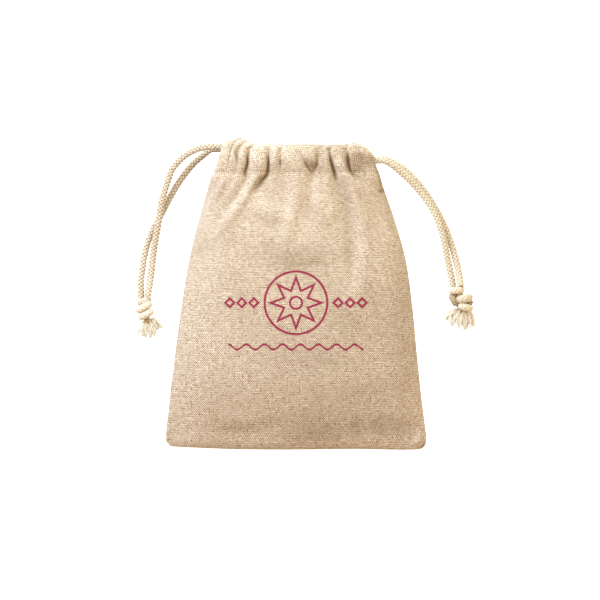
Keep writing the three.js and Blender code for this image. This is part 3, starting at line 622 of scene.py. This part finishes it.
def yarn_effect():
    """Twisted cotton yarn: fine ridges along a slant, and soft unevenness."""
    wires, source, target = effect("Twisted yarn", [], ["Height", "Shade"])
    round_it, up = wires.apart(source["Place"])
    fuzz = wires.speckle(round_it * 9.0, up * 2.0, 4.0, 3.0)
    ridge = wires.math("SINE", up * 5.0 + round_it * 12.0) * 0.5 + 0.5
    wires.put(ridge * 0.6 + fuzz * 0.5, target["Height"])
    # Painted shade in the twist: ridges lighter and grooves darker; the fuzz is uneven tone
    wires.put(ridge * 0.35 + fuzz * 0.65, target["Shade"])
    return wires.tree


def placed(wires, name, build, **inputs):
    """The outputs of an effect in a material. The effect is built when it is first asked for."""
    tree = bpy.data.node_groups.get(name) or build()
    return wires.values(wires.node("ShaderNodeGroup", inputs, node_tree=tree))


def new_material(name, roughness, sheen):
    material = bpy.data.materials.new(name)
    material.use_nodes = True
    material.node_tree.nodes.clear()
    wires = Wires(material.node_tree)
    gloss = {"Roughness": roughness, "Sheen Weight": sheen, "Sheen Roughness": 0.5, "Specular IOR Level": 0.15}
    shader = wires.node("ShaderNodeBsdfPrincipled", gloss)
    wires.node("ShaderNodeOutputMaterial", {0: Value(wires, shader.outputs[0])})
    return material, wires, shader.inputs


def uv_place(wires):
    return wires.scaled(wires.value("ShaderNodeUVMap", uv_map="place"), UV_UNIT)


def weave_contrast_in_light(wires, place):
    """Strength of the weave's bump and colour contrast: little on the puffed top and at the left, most at the
    bottom. Fading the colour contrast where the light falls strongest is painted light.
    """
    x, y = wires.apart(place)
    low = wires.step(y * -1.0, -40, 45)
    side = wires.step(x * -1.0, 30, 50)
    contrast_in_light = wires.step(y, 56, 64) * 0.45 + (low * 0.95 + 0.3)
    return contrast_in_light * (side * (low * 0.7 - 0.7) + 1.0)


def cloth_material(name):
    material, wires, shader = new_material(name, 0.95, 0.12)
    place = wires.scaled(wires.value("ShaderNodeTexCoord", output="Object"), 1 / MM)
    contrast_in_light = weave_contrast_in_light(wires, place)
    threads = placed(
        wires, "Plain weave", weave_effect, Place=uv_place(wires), Pitch=in_mm("thread_pitch"), Relief=contrast_in_light
    )
    height, slub = threads["Height"], threads["Slub"]
    broad = wires.value("ShaderNodeTexNoise", {"Vector": place, "Scale": 0.045, "Detail": 3.0})
    # Painted shade in the weave: thread crowns lighter and the gaps between threads darker; broad is slow
    # uneven tone
    shade = height * 0.3 + threads["Shade"] - 0.2 + (broad - 0.5) * 0.2
    colour = wires.blend(wires.value("ShaderNodeClamp", {0: shade}), tint("cloth_dark"), tint("cloth_light"))
    colour = wires.blend(slub * 0.55, colour, SLUB_COLOUR)
    colour = wires.blend(threads["Fleck"] * 0.7, colour, FLECK_COLOUR)
    # Painted shade deep in the folds and slits, by the fold mask
    colour = wires.blend(wires.mask("fold") * 0.78, colour, tint("crease_shade"))
    colour = wires.blend(wires.mask("shaded"), colour, tint("shade"), "MULTIPLY")
    if name == "linen, printed":
        ornament = placed(wires, "Printed ornament", ornament_effect, Place=place, Line=in_mm("print_line"))
        cover = ornament["Ink"] * wires.step(wires.mask("outside"), 0.4, 0.6)
        cover = cover * (wires.step(height, 0.12, 0.45) * 0.25 + 0.72)
        colour = wires.blend(cover, colour, tint("ink"))
    wires.put(colour, shader["Base Color"])
    wires.put(wires.bump((height + slub * 0.5) * (contrast_in_light * 0.8 + 0.2), 0.35, 0.00022), shader["Normal"])
    return material


def cord_material(name):
    material, wires, shader = new_material(name, 0.9, 0.15)
    ply = placed(wires, "Twisted yarn", yarn_effect, Place=uv_place(wires))
    # The yarn's lightness: painted shade between strands, on low wraps and at fibre roots, with the yarn's own
    # tone
    painted_shade_and_tone = wires.value("ShaderNodeClamp", {0: wires.mask("painted_shade_and_tone") + (ply["Shade"] - 0.5) * 0.5})
    light = tint("frayed" if name == "frayed cotton" else "cord_light")
    wires.put(wires.blend(painted_shade_and_tone, tint("cord_dark"), light), shader["Base Color"])
    wires.put(wires.bump(ply["Height"], 0.4, 0.00008), shader["Normal"])
    return material


def finish(name):
    """The finish of that name, made when it is first asked for."""
    make = cloth_material if name.startswith("linen") else cord_material
    return bpy.data.materials.get(name) or make(name)


# Cord


def curve_points(route, step=0.3):
    """Evenly spaced points on a smooth centripetal curve through a route."""
    knots = [Vector(p) for p in route]
    knots = [2 * knots[0] - knots[1], *knots, 2 * knots[-1] - knots[-2]]
    fine = []
    for p0, p1, p2, p3 in zip(knots, knots[1:], knots[2:], knots[3:]):
        t1, t2, t3 = accumulate((b - a).length ** 0.5 for a, b in ((p0, p1), (p1, p2), (p2, p3)))
        parts = max(4, int((p2 - p1).length / 0.25))
        for k in range(parts):
            t = mix(t1, t2, k / parts)
            layer = p0, p1, p2, p3
            for spans in (((0, t1), (t1, t2), (t2, t3)), ((0, t2), (t1, t3)), ((t1, t2),)):
                pairs = zip(layer, layer[1:], spans)
                layer = [a.lerp(b, (t - low) / (high - low)) for a, b, (low, high) in pairs]
            fine.append(layer[0])
    fine.append(knots[-2])
    ways = ways_along(fine)
    count = max(2, round(ways[-1] / step))
    points, i = [], 0
    for n in range(count + 1):
        place = ways[-1] * n / count
        while i < len(fine) - 2 and ways[i + 1] < place:
            i += 1
        span = ways[i + 1] - ways[i]
        points.append(fine[i].lerp(fine[i + 1], (place - ways[i]) / span if span else 0))
    return points


def frames_along(points):
    """Two sideways directions at each point, carried along without twist."""
    frames, side = [], None
    for before, after in zip([points[0], *points], [*points[1:], points[-1]]):
        tangent = (after - before).normalized()
        if side is None:
            side = Vector((0, 0, 1)) if abs(tangent.z) < 0.9 else Vector((1, 0, 0))
        side = (side - tangent * side.dot(tangent)).normalized()
        frames.append((side, tangent.cross(side)))
    return frames


def add_tube(mesh, rings):
    """Adds a closed tube to a mesh of points, faces, places on the yarn and lightness.

    Each ring is its middle, its two half axes, its way along the yarn and the lightness of its points.
    """
    points, faces, places, lights = mesh
    start, sides = len(points), len(rings[0][-1])
    for n, (middle, wide, up, way, ring_lights) in enumerate(rings):
        for k in range(sides):
            turn = tau * k / sides
            points.append(tuple(middle + wide * cos(turn) + up * sin(turn)))
            places.append((k / sides, way))
        lights.extend(ring_lights)
        if n:
            low = start + (n - 1) * sides
            for k in range(sides):
                m = (k + 1) % sides
                faces.append((low + k, low + m, low + sides + m, low + sides + k))
    faces.append(tuple(range(start + sides - 1, start - 1, -1)))
    faces.append(tuple(range(len(points) - sides, len(points))))


def braid(mesh, points, plait, light, first=0, last=None, start_length=0.0, girth=1.0, tip_light=None):
    """Adds strands plaited round the points from first to last, lighter towards the cord's tips if asked."""
    count, wave, share, outside, least = plait
    end = len(points) - 1
    last = end if last is None else last
    frames = frames_along(points)
    step = ways_along(points)[-1] / end
    lay = share * in_mm("plait_length")
    half_width = girth * in_mm("strand_width") / 2 * 4 / count
    low, high = max(first - 1, 0), min(last + 1, end)
    for strand in range(2 * count):
        way = 1 if strand < count else -1
        base = strand % count * tau / count
        line = []
        for n in range(low, high + 1):
            turn = tau * (start_length + n * step) / lay
            angle = base + way * turn
            lift = wave * cos(count * turn) * way
            side, other = frames[n]
            out = side * cos(angle) + other * sin(angle)
            line.append((points[n] + out * (girth * (BRAID_RADIUS + lift)), out, lift))
        rings = []
        for n in range(first - low, last - low + 1):
            middle, out, lift = line[n]
            glow = light
            if tip_light:
                to_tip = min(low + n, end - low - n) * step
                glow = mix(tip_light, light, smooth(to_tip, *TIP_FADE))
            run = (line[min(n + 1, high - low)][0] - line[max(n - 1, 0)][0]).normalized()
            wide = run.cross(out).normalized()
            axes = wide * half_width, wide.cross(run) * (girth * STRAND_HALF_HEIGHT)
            # Painted shade: each strand is darker where it dips in between the others
            lights = []
            for k in range(STRAND_SIDES):
                radial = BRAID_RADIUS + lift + STRAND_HALF_HEIGHT * sin(tau * k / STRAND_SIDES)
                lights.append(glow * mix(least, 1, smooth(radial, outside - CREVICE, outside)))
            rings.append((middle, *axes, start_length + (low + n) * step, lights))
        add_tube(mesh, rings)


def cord_piece(name, mesh, look, replaced=()):
    points, faces, places, lights = mesh
    return new_piece(name, points, faces, places, {"painted_shade_and_tone": lights}, look, replaced)


def casing_route(casing):
    front, back, (turn_x, turn_y) = casing
    radius = (FRONT_CORD_Z - BACK_CORD_Z) / 2
    middle = (FRONT_CORD_Z + BACK_CORD_Z) / 2
    route = [(x, y, FRONT_CORD_Z) for x, y in front]
    for n in range(7):
        angle = pi * n / 6
        out = radius * sin(angle) * (1 if turn_x > 0 else -1)
        route.append((turn_x + out, turn_y, middle + radius * cos(angle)))
    return route + [(x, y, BACK_CORD_Z) for x, y in back]


def nearest(points, target):
    target = Vector(target)
    return min(range(len(points)), key=lambda n: (points[n] - target).length)


class POUCH_OT_cords(bpy.types.Operator):
    """Plait both drawcords along their routes, in the casings and out to the knots"""

    bl_idname = "pouch.cords"
    bl_label = "Drawcords"

    def execute(self, context):
        plan = [
            ("left", LEFT_FRONT_ROUTE, LEFT_CASING, LEFT_BACK_ROUTE, DEEP_PLAIT, 0.74),
            ("right", RIGHT_FRONT_ROUTE, RIGHT_CASING, RIGHT_BACK_ROUTE, CORD_PLAIT, 0.84),
        ]
        for side, front, casing, back, plait, light in plan:
            points = curve_points(front[::-1] + casing_route(casing)[1:-1] + back)
            way_out, way_back = nearest(points, front[0]), nearest(points, back[0])
            end = len(points) - 1
            runs = {"in_casing": (way_out, way_back), "front": (0, way_out), "back": (way_back, end)}
            for part, (first, last) in runs.items():
                mesh = [], [], [], []
                braid(mesh, points, plait, light, first, last, tip_light=TIP_LIGHT)
                node = f"{side}_cord_{part}" + ("" if part == "in_casing" else "_strand")
                piece = cord_piece(f"{side}_braid_{part}", mesh, "braided cotton", replaced=[node])
                if part == "in_casing":
                    continue
                run = points[first:last + 1]
                if part == "front":
                    run.reverse()
        return {"FINISHED"}


# Knots and frayed ends


def wrap_ring(middle, turn, half_length, half_height):
    """A closed wrap of cord round the knot, its seam underneath."""
    angle = radians(turn)
    run = Vector((cos(angle), sin(angle), 0))
    count = round(pi * (half_length + half_height) / 0.3)
    points = []
    for n in range(count + 1):
        t = tau * n / count - pi / 2
        up = Vector((0, 0, half_height * sin(t)))
        points.append(Vector(middle) + run * (half_length * cos(t)) + up)
    return points


def draw_number(*seed):
    """A fixed number from -1 to 1 for these seeds."""
    return noise.cell(Vector(seed) * 7.31 + Vector((0.5, 0.5, 0.5))) * 2 - 1


def fibre(mesh, path, thick, sides=5, light=1.0):
    """Adds a thin tube along a path that thins towards its tip, with painted shade at its root where it goes
    in.
    """
    rings = []
    last = len(path) - 1
    for n, (point, (side, other)) in enumerate(zip(path, frames_along(path))):
        radius = thick / 2 * (1 - 0.4 * (n / last) ** 3)
        glow = light * mix(ROOT_LIGHT, 1.0, min(1, n / last * 4))
        rings.append((point, side * radius, other * radius, n * 0.6, [glow] * sides))
    add_tube(mesh, rings)


def lock_line(tuft, share, level, seed, lock):
    """Middle line of one lock of the frayed end, that fans out and bends over."""
    root, across, at_root, at_tip, reach = tuft
    start = mix(*at_root, share) + 5 * draw_number(seed, lock, 1)
    end = mix(*at_tip, share) + 8 * draw_number(seed, lock, 2)
    length = reach * (1 - 0.12 * abs(draw_number(seed, lock, 3)) - 0.16 * (2 * share - 1) ** 2)
    middle = radians(sum(at_root) / 2 + 90)
    place = Vector(root) + Vector((cos(middle), sin(middle), 0)) * (across * (share - 0.5))
    place.z += 1.1 * (level - 0.5)
    rest = mix(0.72, 3.1, level)
    line = [place.copy()]
    for k in range(1, LOCK_STEPS + 1):
        t = k / LOCK_STEPS
        heading = radians(mix(start, end, smooth(t, -0.1, 0.8)) + 16 * sin(5.2 * t + lock) * t)
        place.x += length / LOCK_STEPS * cos(heading)
        place.y += length / LOCK_STEPS * sin(heading)
        place.z += (mix(rest, rest * 0.72, t) - place.z) * 0.24
        line.append(place.copy())
    return line


def frayed_ends(side, tuft, seed, strays):
    mesh = [], [], [], []
    thick = in_mm("fibre_width")
    for lock in range(LOCKS):
        line = lock_line(tuft, lock / (LOCKS - 1), lock * 3 % 7 / 6, seed, lock)
        frames = frames_along(line)
        for n in range(FIBRES):
            out = LOCK_RADIUS * sqrt(n / (FIBRES - 1))
            jitter = draw_number(seed, lock, 10 + n)
            path = []
            for k in range(len(line) - (n * 5 + lock) % 3):
                t = k / LOCK_STEPS
                wide = out * (0.5 + 0.75 * t + 0.35 * t * t * jitter)
                spin = 2.4 * n + 2.6 * t + 0.5 * jitter * sin(9 * t + n)
                across, other = frames[k]
                point = line[k] + across * (wide * cos(spin)) + other * (wide * sin(spin))
                point.z = max(point.z, thick / 2 + FLOOR_GAP)
                path.append(point)
            # Painted shade: the fibres inside a lock are darker than the outer ones
            fibre(mesh, path, thick, light=0.8 + 0.2 * n / (FIBRES - 1))
    for stray in strays:
        fibre(mesh, curve_points(stray, 0.7), 0.4)
    cord_piece(f"{side}_frayed_ends", mesh, "frayed cotton", replaced=[f"{side}_tuft"])


class POUCH_OT_knots(bpy.types.Operator):
    """Tie each pair of strands in a knot of plaited wraps and fray the ends below it"""

    bl_idname = "pouch.knots"
    bl_label = "Knots and frayed ends"

    def execute(self, context):
        plan = [
            ("left", LEFT_WRAPS, LEFT_STUBS, LEFT_TUFT, 1, []),
            ("right", RIGHT_WRAPS, RIGHT_STUBS, RIGHT_TUFT, 2, RIGHT_STRAYS),
        ]
        for side, wraps, stubs, tuft, seed, strays in plan:
            mesh = [], [], [], []
            for n, (*wrap, girth, light) in enumerate(wraps):
                braid(mesh, wrap_ring(*wrap), KNOT_PLAIT, light, start_length=2.3 * n, girth=girth)
            for n, stub in enumerate(stubs):
                # Painted shade: the stubs go in under the wraps, the last one deepest
                light = 0.8 if n < 2 else 0.5
                braid(mesh, curve_points(stub), CORD_PLAIT, light, start_length=1.7 * n)
            cord_piece(f"{side}_plaited_knot", mesh, "braided cotton", replaced=[f"{side}_knot"])
            frayed_ends(side, tuft, seed, strays)
        return {"FINISHED"}


# Cloth


def side_at(y, side):
    """Left or right edge of the cloth, column 1 or 2 of the table, with its rounded bottom corner."""
    rise = CORNER_RADIUS - clamp(y - BOTTOM_Y, 0, CORNER_RADIUS)
    inset = CORNER_RADIUS - sqrt(CORNER_RADIUS ** 2 - rise ** 2)
    return along(SIDES, y, side) + (inset if side == 1 else -inset)


def x_at(share, y):
    return mix(side_at(y, 1), side_at(y, 2), share)


def share_at(x, y):
    left = side_at(y, 1)
    return (x - left) / (side_at(y, 2) - left)


def fold_share(fold, y):
    y = clamp(y, fold[0][0], CROWN_Y)
    return share_at(along(fold, y), y)


def cloth_columns(count, parts):
    """Columns of points, each as the bay between two folds and the share of the way across it."""
    shares = [0.5 - 0.5 * cos(pi * n / parts) for n in range(parts)]
    return [(bay, share) for bay in range(count + 1) for share in shares] + [(count, 1.0)]


def column_share(folds, column, y):
    bay, share = column
    start = 0 if bay == 0 else fold_share(folds[bay - 1], y)
    end = 1 if bay == len(folds) else fold_share(folds[bay], y)
    return mix(start, end, share)


def fold_depth(folds, x, y):
    """How deep the folds draw the cloth in at a place, and how much of that is a sharp slit."""
    broad = slit = 0.0
    for fold in folds:
        depth = along(fold, y, 2)
        if depth <= 0:
            continue
        slit_part = along(SLIT_SHARE, y) * smooth(depth, 0.7, 2.2)
        away = abs(x - along(fold, y))
        breadth = along(fold, y, 3)
        if away < 4 * breadth:
            slit += slit_part * depth * exp(-((away / (SLIT_WIDTH * breadth)) ** 1.5))
            broad += (1 - slit_part) * depth * exp(-((away / breadth) ** 2))
    return broad, slit


def strokes_at(lines, x, y):
    """Sum at a place of soft strokes that fade to both ends."""
    total = 0.0
    for points, depth, breadth in lines:
        reach = 3 * breadth
        if not min(p[0] for p in points) - reach < x < max(p[0] for p in points) + reach:
            continue
        if not min(p[1] for p in points) - reach < y < max(p[1] for p in points) + reach:
            continue
        best, place = inf, 0.0
        for n, (a, b) in enumerate(zip(points, points[1:])):
            run_x, run_y = b[0] - a[0], b[1] - a[1]
            share = clamp(((x - a[0]) * run_x + (y - a[1]) * run_y) / (run_x ** 2 + run_y ** 2))
            away = hypot(x - a[0] - share * run_x, y - a[1] - share * run_y)
            if away < best:
                best, place = away, (n + share) / (len(points) - 1)
        total += depth * exp(-((best / breadth) ** 2)) * sin(pi * mix(0.12, 0.88, place))
    return total


def ripple(x, y):
    """Slow unevenness of slack cloth, and its small puckers."""
    slow = noise.noise(Vector((x / 24, y / 24, 2.5))) * 0.55
    small = noise.noise(Vector((x / 8, y / 10, 7.5))) * 0.16
    return slow + small


def dome(share, y):
    """Share of the full height across a panel, squarer towards the casing."""
    return (1 - min(abs(2 * share - 1), 1) ** along(DOME, y)) ** along(DOME, y, 2)


def belly_z(share, y):
    """Height of the front's outer face before it is folded."""
    edge = mix(SEAM_Z, CASING_EDGE_Z, smooth(y, SLIT_Y - 6, STITCH_Y))
    return mix(edge, along(BELLY, y), dome(share, y))


def stitch_dip(y):
    return STITCH_DEPTH * exp(-(((y - STITCH_Y) / STITCH_BREADTH) ** 2))


def body_point(folds, column, row_y, front):
    """A point of a panel's outer face below the stitch line, and how much of a slit is there."""
    share = column_share(folds, column, row_y)
    x = x_at(share, row_y)
    y = row_y + (1 - smooth(row_y, BOTTOM_Y, BOTTOM_Y + BOTTOM_EASE)) * along(BOTTOM, x)
    broad, slit = fold_depth(folds, x, row_y)
    if not front:
        return Vector((x, y, broad + BACK_SLIT * slit)), 0.0
    height = dome(share, row_y)
    slack = smooth(row_y, BOTTOM_Y, BOTTOM_Y + 12) * min(1, height * 1.4)
    creased = smooth(row_y, BOTTOM_Y, BOTTOM_Y + 3) * min(1, height * 4)
    dip = (BODY_FOLD * broad + slit) * min(1, height * 1.3)
    z = belly_z(share, row_y) - dip - stitch_dip(row_y)
    z += slack * ripple(x, y) - creased * strokes_at(CREASES, x, y)
    return Vector((x, y, z)), slit


def casing_points(folds, column, front):
    """Outer face of the casing, its roll and its hem, from the stitch line up and in again."""
    top_share = column_share(folds, column, CROWN_Y)
    top_x = x_at(top_share, CROWN_Y)
    bay, share = column
    rounding = PUFF_ROUNDING * (1 - sin(pi * share)) * (0 < bay < len(folds))
    full = FRONT_FACE_Z + PUFF - along(CASING_DROP, top_share) - rounding
    low, _ = body_point(folds, column, STITCH_Y, front)
    low_broad, low_slit = fold_depth(folds, low.x, STITCH_Y)
    scallop = SCALLOP * sum(fold_depth(folds, top_x, CROWN_Y))
    roll_y = along(MOUTH, top_x) - (0 if front else BACK_TOP_LOWER) - scallop - ROLL_DEPTH - 0.4
    out = []
    for n in range(1, CASING_ROWS + 1):
        way = n / CASING_ROWS
        y = mix(STITCH_Y, roll_y, way)
        x = x_at(column_share(folds, column, min(y, CROWN_Y)), y)
        broad, slit = fold_depth(folds, x, y)
        z = broad + BACK_SLIT * slit
        if front:
            lift = smooth(way, -0.12, 0.72)
            level = low.z + BODY_FOLD * (low_broad - broad) + low_slit - slit
            start = min(level + STITCH_DEPTH + STITCH_RISE * (y - STITCH_Y), full)
            z = mix(start, full - broad - slit, lift) - stitch_dip(y)
            z += (0.5 * ripple(x, y) - strokes_at(CREASES, x, y)) * lift
        out.append((Vector((x, y, z)), slit))
    face, depth = out[-1]
    hem_x = mix(HEM_LEFT, HEM_RIGHT, top_share)
    hem_z = FRONT_HEM_Z - HEM_PLAY if front else BACK_HEM_Z + HEM_PLAY
    for n in range(1, ROLL_ROWS + 1):
        angle = pi * n / ROLL_ROWS
        y = roll_y + ROLL_DEPTH * sin(angle)
        x = mix(x_at(top_share, min(y, SIDES[-1][0])), hem_x, smooth(n, 0, ROLL_ROWS))
        shape = abs(cos(angle)) ** 0.85 * (1 if angle < pi / 2 else -1)
        z = (face.z + hem_z) / 2 + (face.z - hem_z) / 2 * shape
        out.append((Vector((x, y, z)), depth * (1 - n / ROLL_ROWS)))
    for n in range(1, HEM_ROWS + 1):
        y = mix(roll_y, STITCH_Y + 1.6, n / HEM_ROWS)
        x = mix(HEM_LEFT, HEM_RIGHT, column_share(folds, column, min(y, CROWN_Y)))
        out.append((Vector((x, y, hem_z)), 0.0))
    return out


def body_rows(front):
    rows = [BOTTOM_Y, -77.85, -77.5, -76.9, -76.1, -75, -73.6, -71.8, -69.6, -67, -64]
    y = -61.0
    while y < STITCH_Y - 0.5:
        rows.append(y)
        y += (2.2 if y < 26 else 1.1 if y < 42 else 0.72) if front else (5 if y < 26 else 2.2)
    return rows + [STITCH_Y]


def panel(front):
    """The panel's grid of outer points, column by column, with the depth of the slits there."""
    folds, parts = (FRONT_FOLDS, 14) if front else (BACK_FOLDS, 8)
    rows = body_rows(front)
    grid = []
    for column in cloth_columns(len(folds), parts):
        body = [body_point(folds, column, y, front) for y in rows]
        grid.append(body + casing_points(folds, column, front))
    return grid


def cloth_places(grid):
    """Way of each point across from the cloth's middle and up it, evened out with the columns beside it."""
    across = [ways_along([point for point, _ in row]) for row in zip(*grid)]
    ups = [ways_along([point for point, _ in run]) for run in grid]
    places = []
    for i in range(len(grid)):
        near = ups[max(0, i - EVEN_REACH):i + EVEN_REACH + 1]
        for j, ways in enumerate(across):
            up = sum(run[j] for run in near) / len(near)
            places.append((UV_UNIT / 2 + ways[i] - ways[-1] / 2, up))
    return places


def cloth_solid(name, front, look, replaced):
    grid = panel(front)
    thick = in_mm("cloth_thickness")
    columns, rows = len(grid), len(grid[0])
    outer, inner, folds, shaded = [], [], [], []
    for i, run in enumerate(grid):
        for j, (here, depth) in enumerate(run):
            right = grid[min(i + 1, columns - 1)][j][0] - grid[max(i - 1, 0)][j][0]
            above = run[min(j + 1, rows - 1)][0] - run[max(j - 1, 0)][0]
            normal = right.cross(above).normalized() * (1 if front else -1)
            outer.append(tuple(here))
            inner.append(tuple(here - normal * thick))
            # Fold mask: where shade is painted along the deep folds and slits
            folds.append(smooth(depth, 0.3, 1.9))
            facing = front and normal.z > 0
            shaded.append(min(strokes_at(SHADES, here.x, here.y), 1) if facing else 0.0)
    count = columns * rows
    faces = []
    for i in range(columns - 1):
        for j in range(rows - 1):
            a = i * rows + j
            b, c, d = a + rows, a + rows + 1, a + 1
            faces += [(a, b, c, d), (a + count, d + count, c + count, b + count)]
    rim = [i * rows for i in range(columns)]
    rim += [(columns - 1) * rows + j for j in range(1, rows)]
    rim += [i * rows + rows - 1 for i in range(columns - 2, -1, -1)]
    rim += list(range(rows - 2, 0, -1))
    faces += [(b, a, a + count, b + count) for a, b in zip(rim, rim[1:] + rim[:1])]
    if not front:
        faces = [face[::-1] for face in faces]
    inside = [0.0] * count
    masks = {"fold": folds + inside, "shaded": shaded + inside, "outside": [1.0] * count + inside}
    places = cloth_places(grid) * 2
    piece = new_piece(name, outer + inner, faces, places, masks, look, replaced)
    return grid


def sewing_thread(line):
    """Running stitches along the casing, and a few tacks at the foot of its right opening."""
    mesh = [], [], [], []
    points = curve_points(line[::3] + [line[-1]], 0.35)
    for n in range(3, len(points) - 3 - STITCH_POINTS, STITCH_POINTS + STITCH_GAP):
        stitch = []
        for k, point in enumerate(points[n:n + STITCH_POINTS]):
            rise = 0.16 * sin(pi * k / (STITCH_POINTS - 1)) - 0.02
            stitch.append(point + Vector((0, 0.02 * draw_number(n, k, 5), rise)))
        fibre(mesh, stitch, 0.3, 6)
    for k in range(6):
        tack = []
        foot_y = SLIT_Y - 0.7 + 0.24 * k
        for x, y, rise in ((41.3, foot_y, 0.1), (42.6, foot_y + 0.04, 0.4), (43.8, foot_y, 0.1)):
            share = clamp(share_at(x, foot_y))
            tack.append((x, y, belly_z(share, foot_y) + rise))
        tack[0] = (tack[0][0] + 0.15 * draw_number(k, 1, 8), *tack[0][1:])
        fibre(mesh, curve_points(tack, 0.5), 0.42, 6, 0.2)
    cord_piece("sewing_thread", mesh, "sewing cotton")


class POUCH_OT_cloth(bpy.types.Operator):
    """Weave both panels, gather them on their folds and sew the casing down"""

    bl_idname = "pouch.cloth"
    bl_label = "Cloth panels"

    def execute(self, context):
        grid = cloth_solid("front_cloth", True, "linen, printed", ["front_panel"])
        cloth_solid("back_cloth", False, "linen", ["back_panel"])
        stitch_row = len(body_rows(True)) - 1
        sewing_thread([run[stitch_row][0] for run in grid])
        return {"FINISHED"}


# Stage


def area_light(name, place, size, power, colour):
    """A soft light that looks at the pouch."""
    light = bpy.data.lights.new(name, "AREA")
    light.shape = "DISK"
    light.size = size
    light.energy = power
    light.color = colour
    lamp = add_object(name, light)
    lamp.location = place
    lamp.rotation_euler = (-Vector(place)).to_track_quat("-Z", "Y").to_euler()


class POUCH_OT_stage(bpy.types.Operator):
    """Set the camera over the pouch, the soft light and the pale floor"""

    bl_idname = "pouch.stage"
    bl_label = "Camera, light and floor"

    def execute(self, context):
        scene = context.scene
        lens = bpy.data.cameras.new("camera")
        lens.lens = LENS
        lens.sensor_width = SENSOR_WIDTH
        camera = add_object("camera", lens)
        camera.location = AIM + Vector((0, 0, FRAME_WIDTH * LENS / SENSOR_WIDTH))
        scene.camera = camera
        scene.view_settings.view_transform = "Standard"
        for light in LIGHTS:
            area_light(*light)
        world = bpy.data.worlds.new("studio")
        world.use_nodes = True
        backdrop = world.node_tree.nodes["Background"]
        backdrop.inputs["Color"].default_value = BACKDROP_COLOUR
        backdrop.inputs["Strength"].default_value = BACKDROP_STRENGTH
        scene.world = world
        material, wires, shader = new_material("pale floor", 0.9, 0.0)
        wires.put(tint("floor"), shader["Base Color"])
        wires.put((1, 1, 1, 1), shader["Emission Color"])
        seen = wires.value("ShaderNodeLightPath", output="Is Camera Ray")
        wires.put(seen * FLOOR_GLOW, shader["Emission Strength"])
        mesh = bpy.data.meshes.new("floor")
        corners = [(FLOOR_REACH * x, FLOOR_REACH * y, 0) for x, y in ((-1, -1), (1, -1), (1, 1), (-1, 1))]
        mesh.from_pydata(corners, [], [(0, 1, 2, 3)])
        mesh.materials.append(material)
        floor = add_object("floor", mesh)
        return {"FINISHED"}


class POUCH_PT_panel(bpy.types.Panel):
    """Lists the pouch's sizes, colours and pieces"""

    bl_idname = "POUCH_PT_panel"
    bl_label = "Drawstring pouch"
    bl_space_type = "VIEW_3D"
    bl_region_type = "UI"
    bl_category = "Pouch"

    def draw(self, context):
        layout = self.layout
        for group in (context.scene.pouch_sizes, context.scene.pouch_colours):
            box = layout.box()
            for name in group.__annotations__:
                box.prop(group, name)
        for operator in OPERATORS:
            layout.operator(operator.bl_idname)


OPERATORS = (POUCH_OT_stage, POUCH_OT_knots, POUCH_OT_cords, POUCH_OT_cloth)
CLASSES = (PouchSizes, PouchColours, *OPERATORS, POUCH_PT_panel)


def register():
    for cls in CLASSES:
        bpy.utils.register_class(cls)
    bpy.types.Scene.pouch_sizes = PointerProperty(type=PouchSizes)
    bpy.types.Scene.pouch_colours = PointerProperty(type=PouchColours)


def unregister():
    del bpy.types.Scene.pouch_colours
    del bpy.types.Scene.pouch_sizes
    for cls in reversed(CLASSES):
        bpy.utils.unregister_class(cls)


def main():
    register()
    bpy.ops.pouch.stage()
    bpy.ops.pouch.knots()
    bpy.ops.pouch.cords()
    bpy.ops.pouch.cloth()


if __name__ == "__main__":
    main()
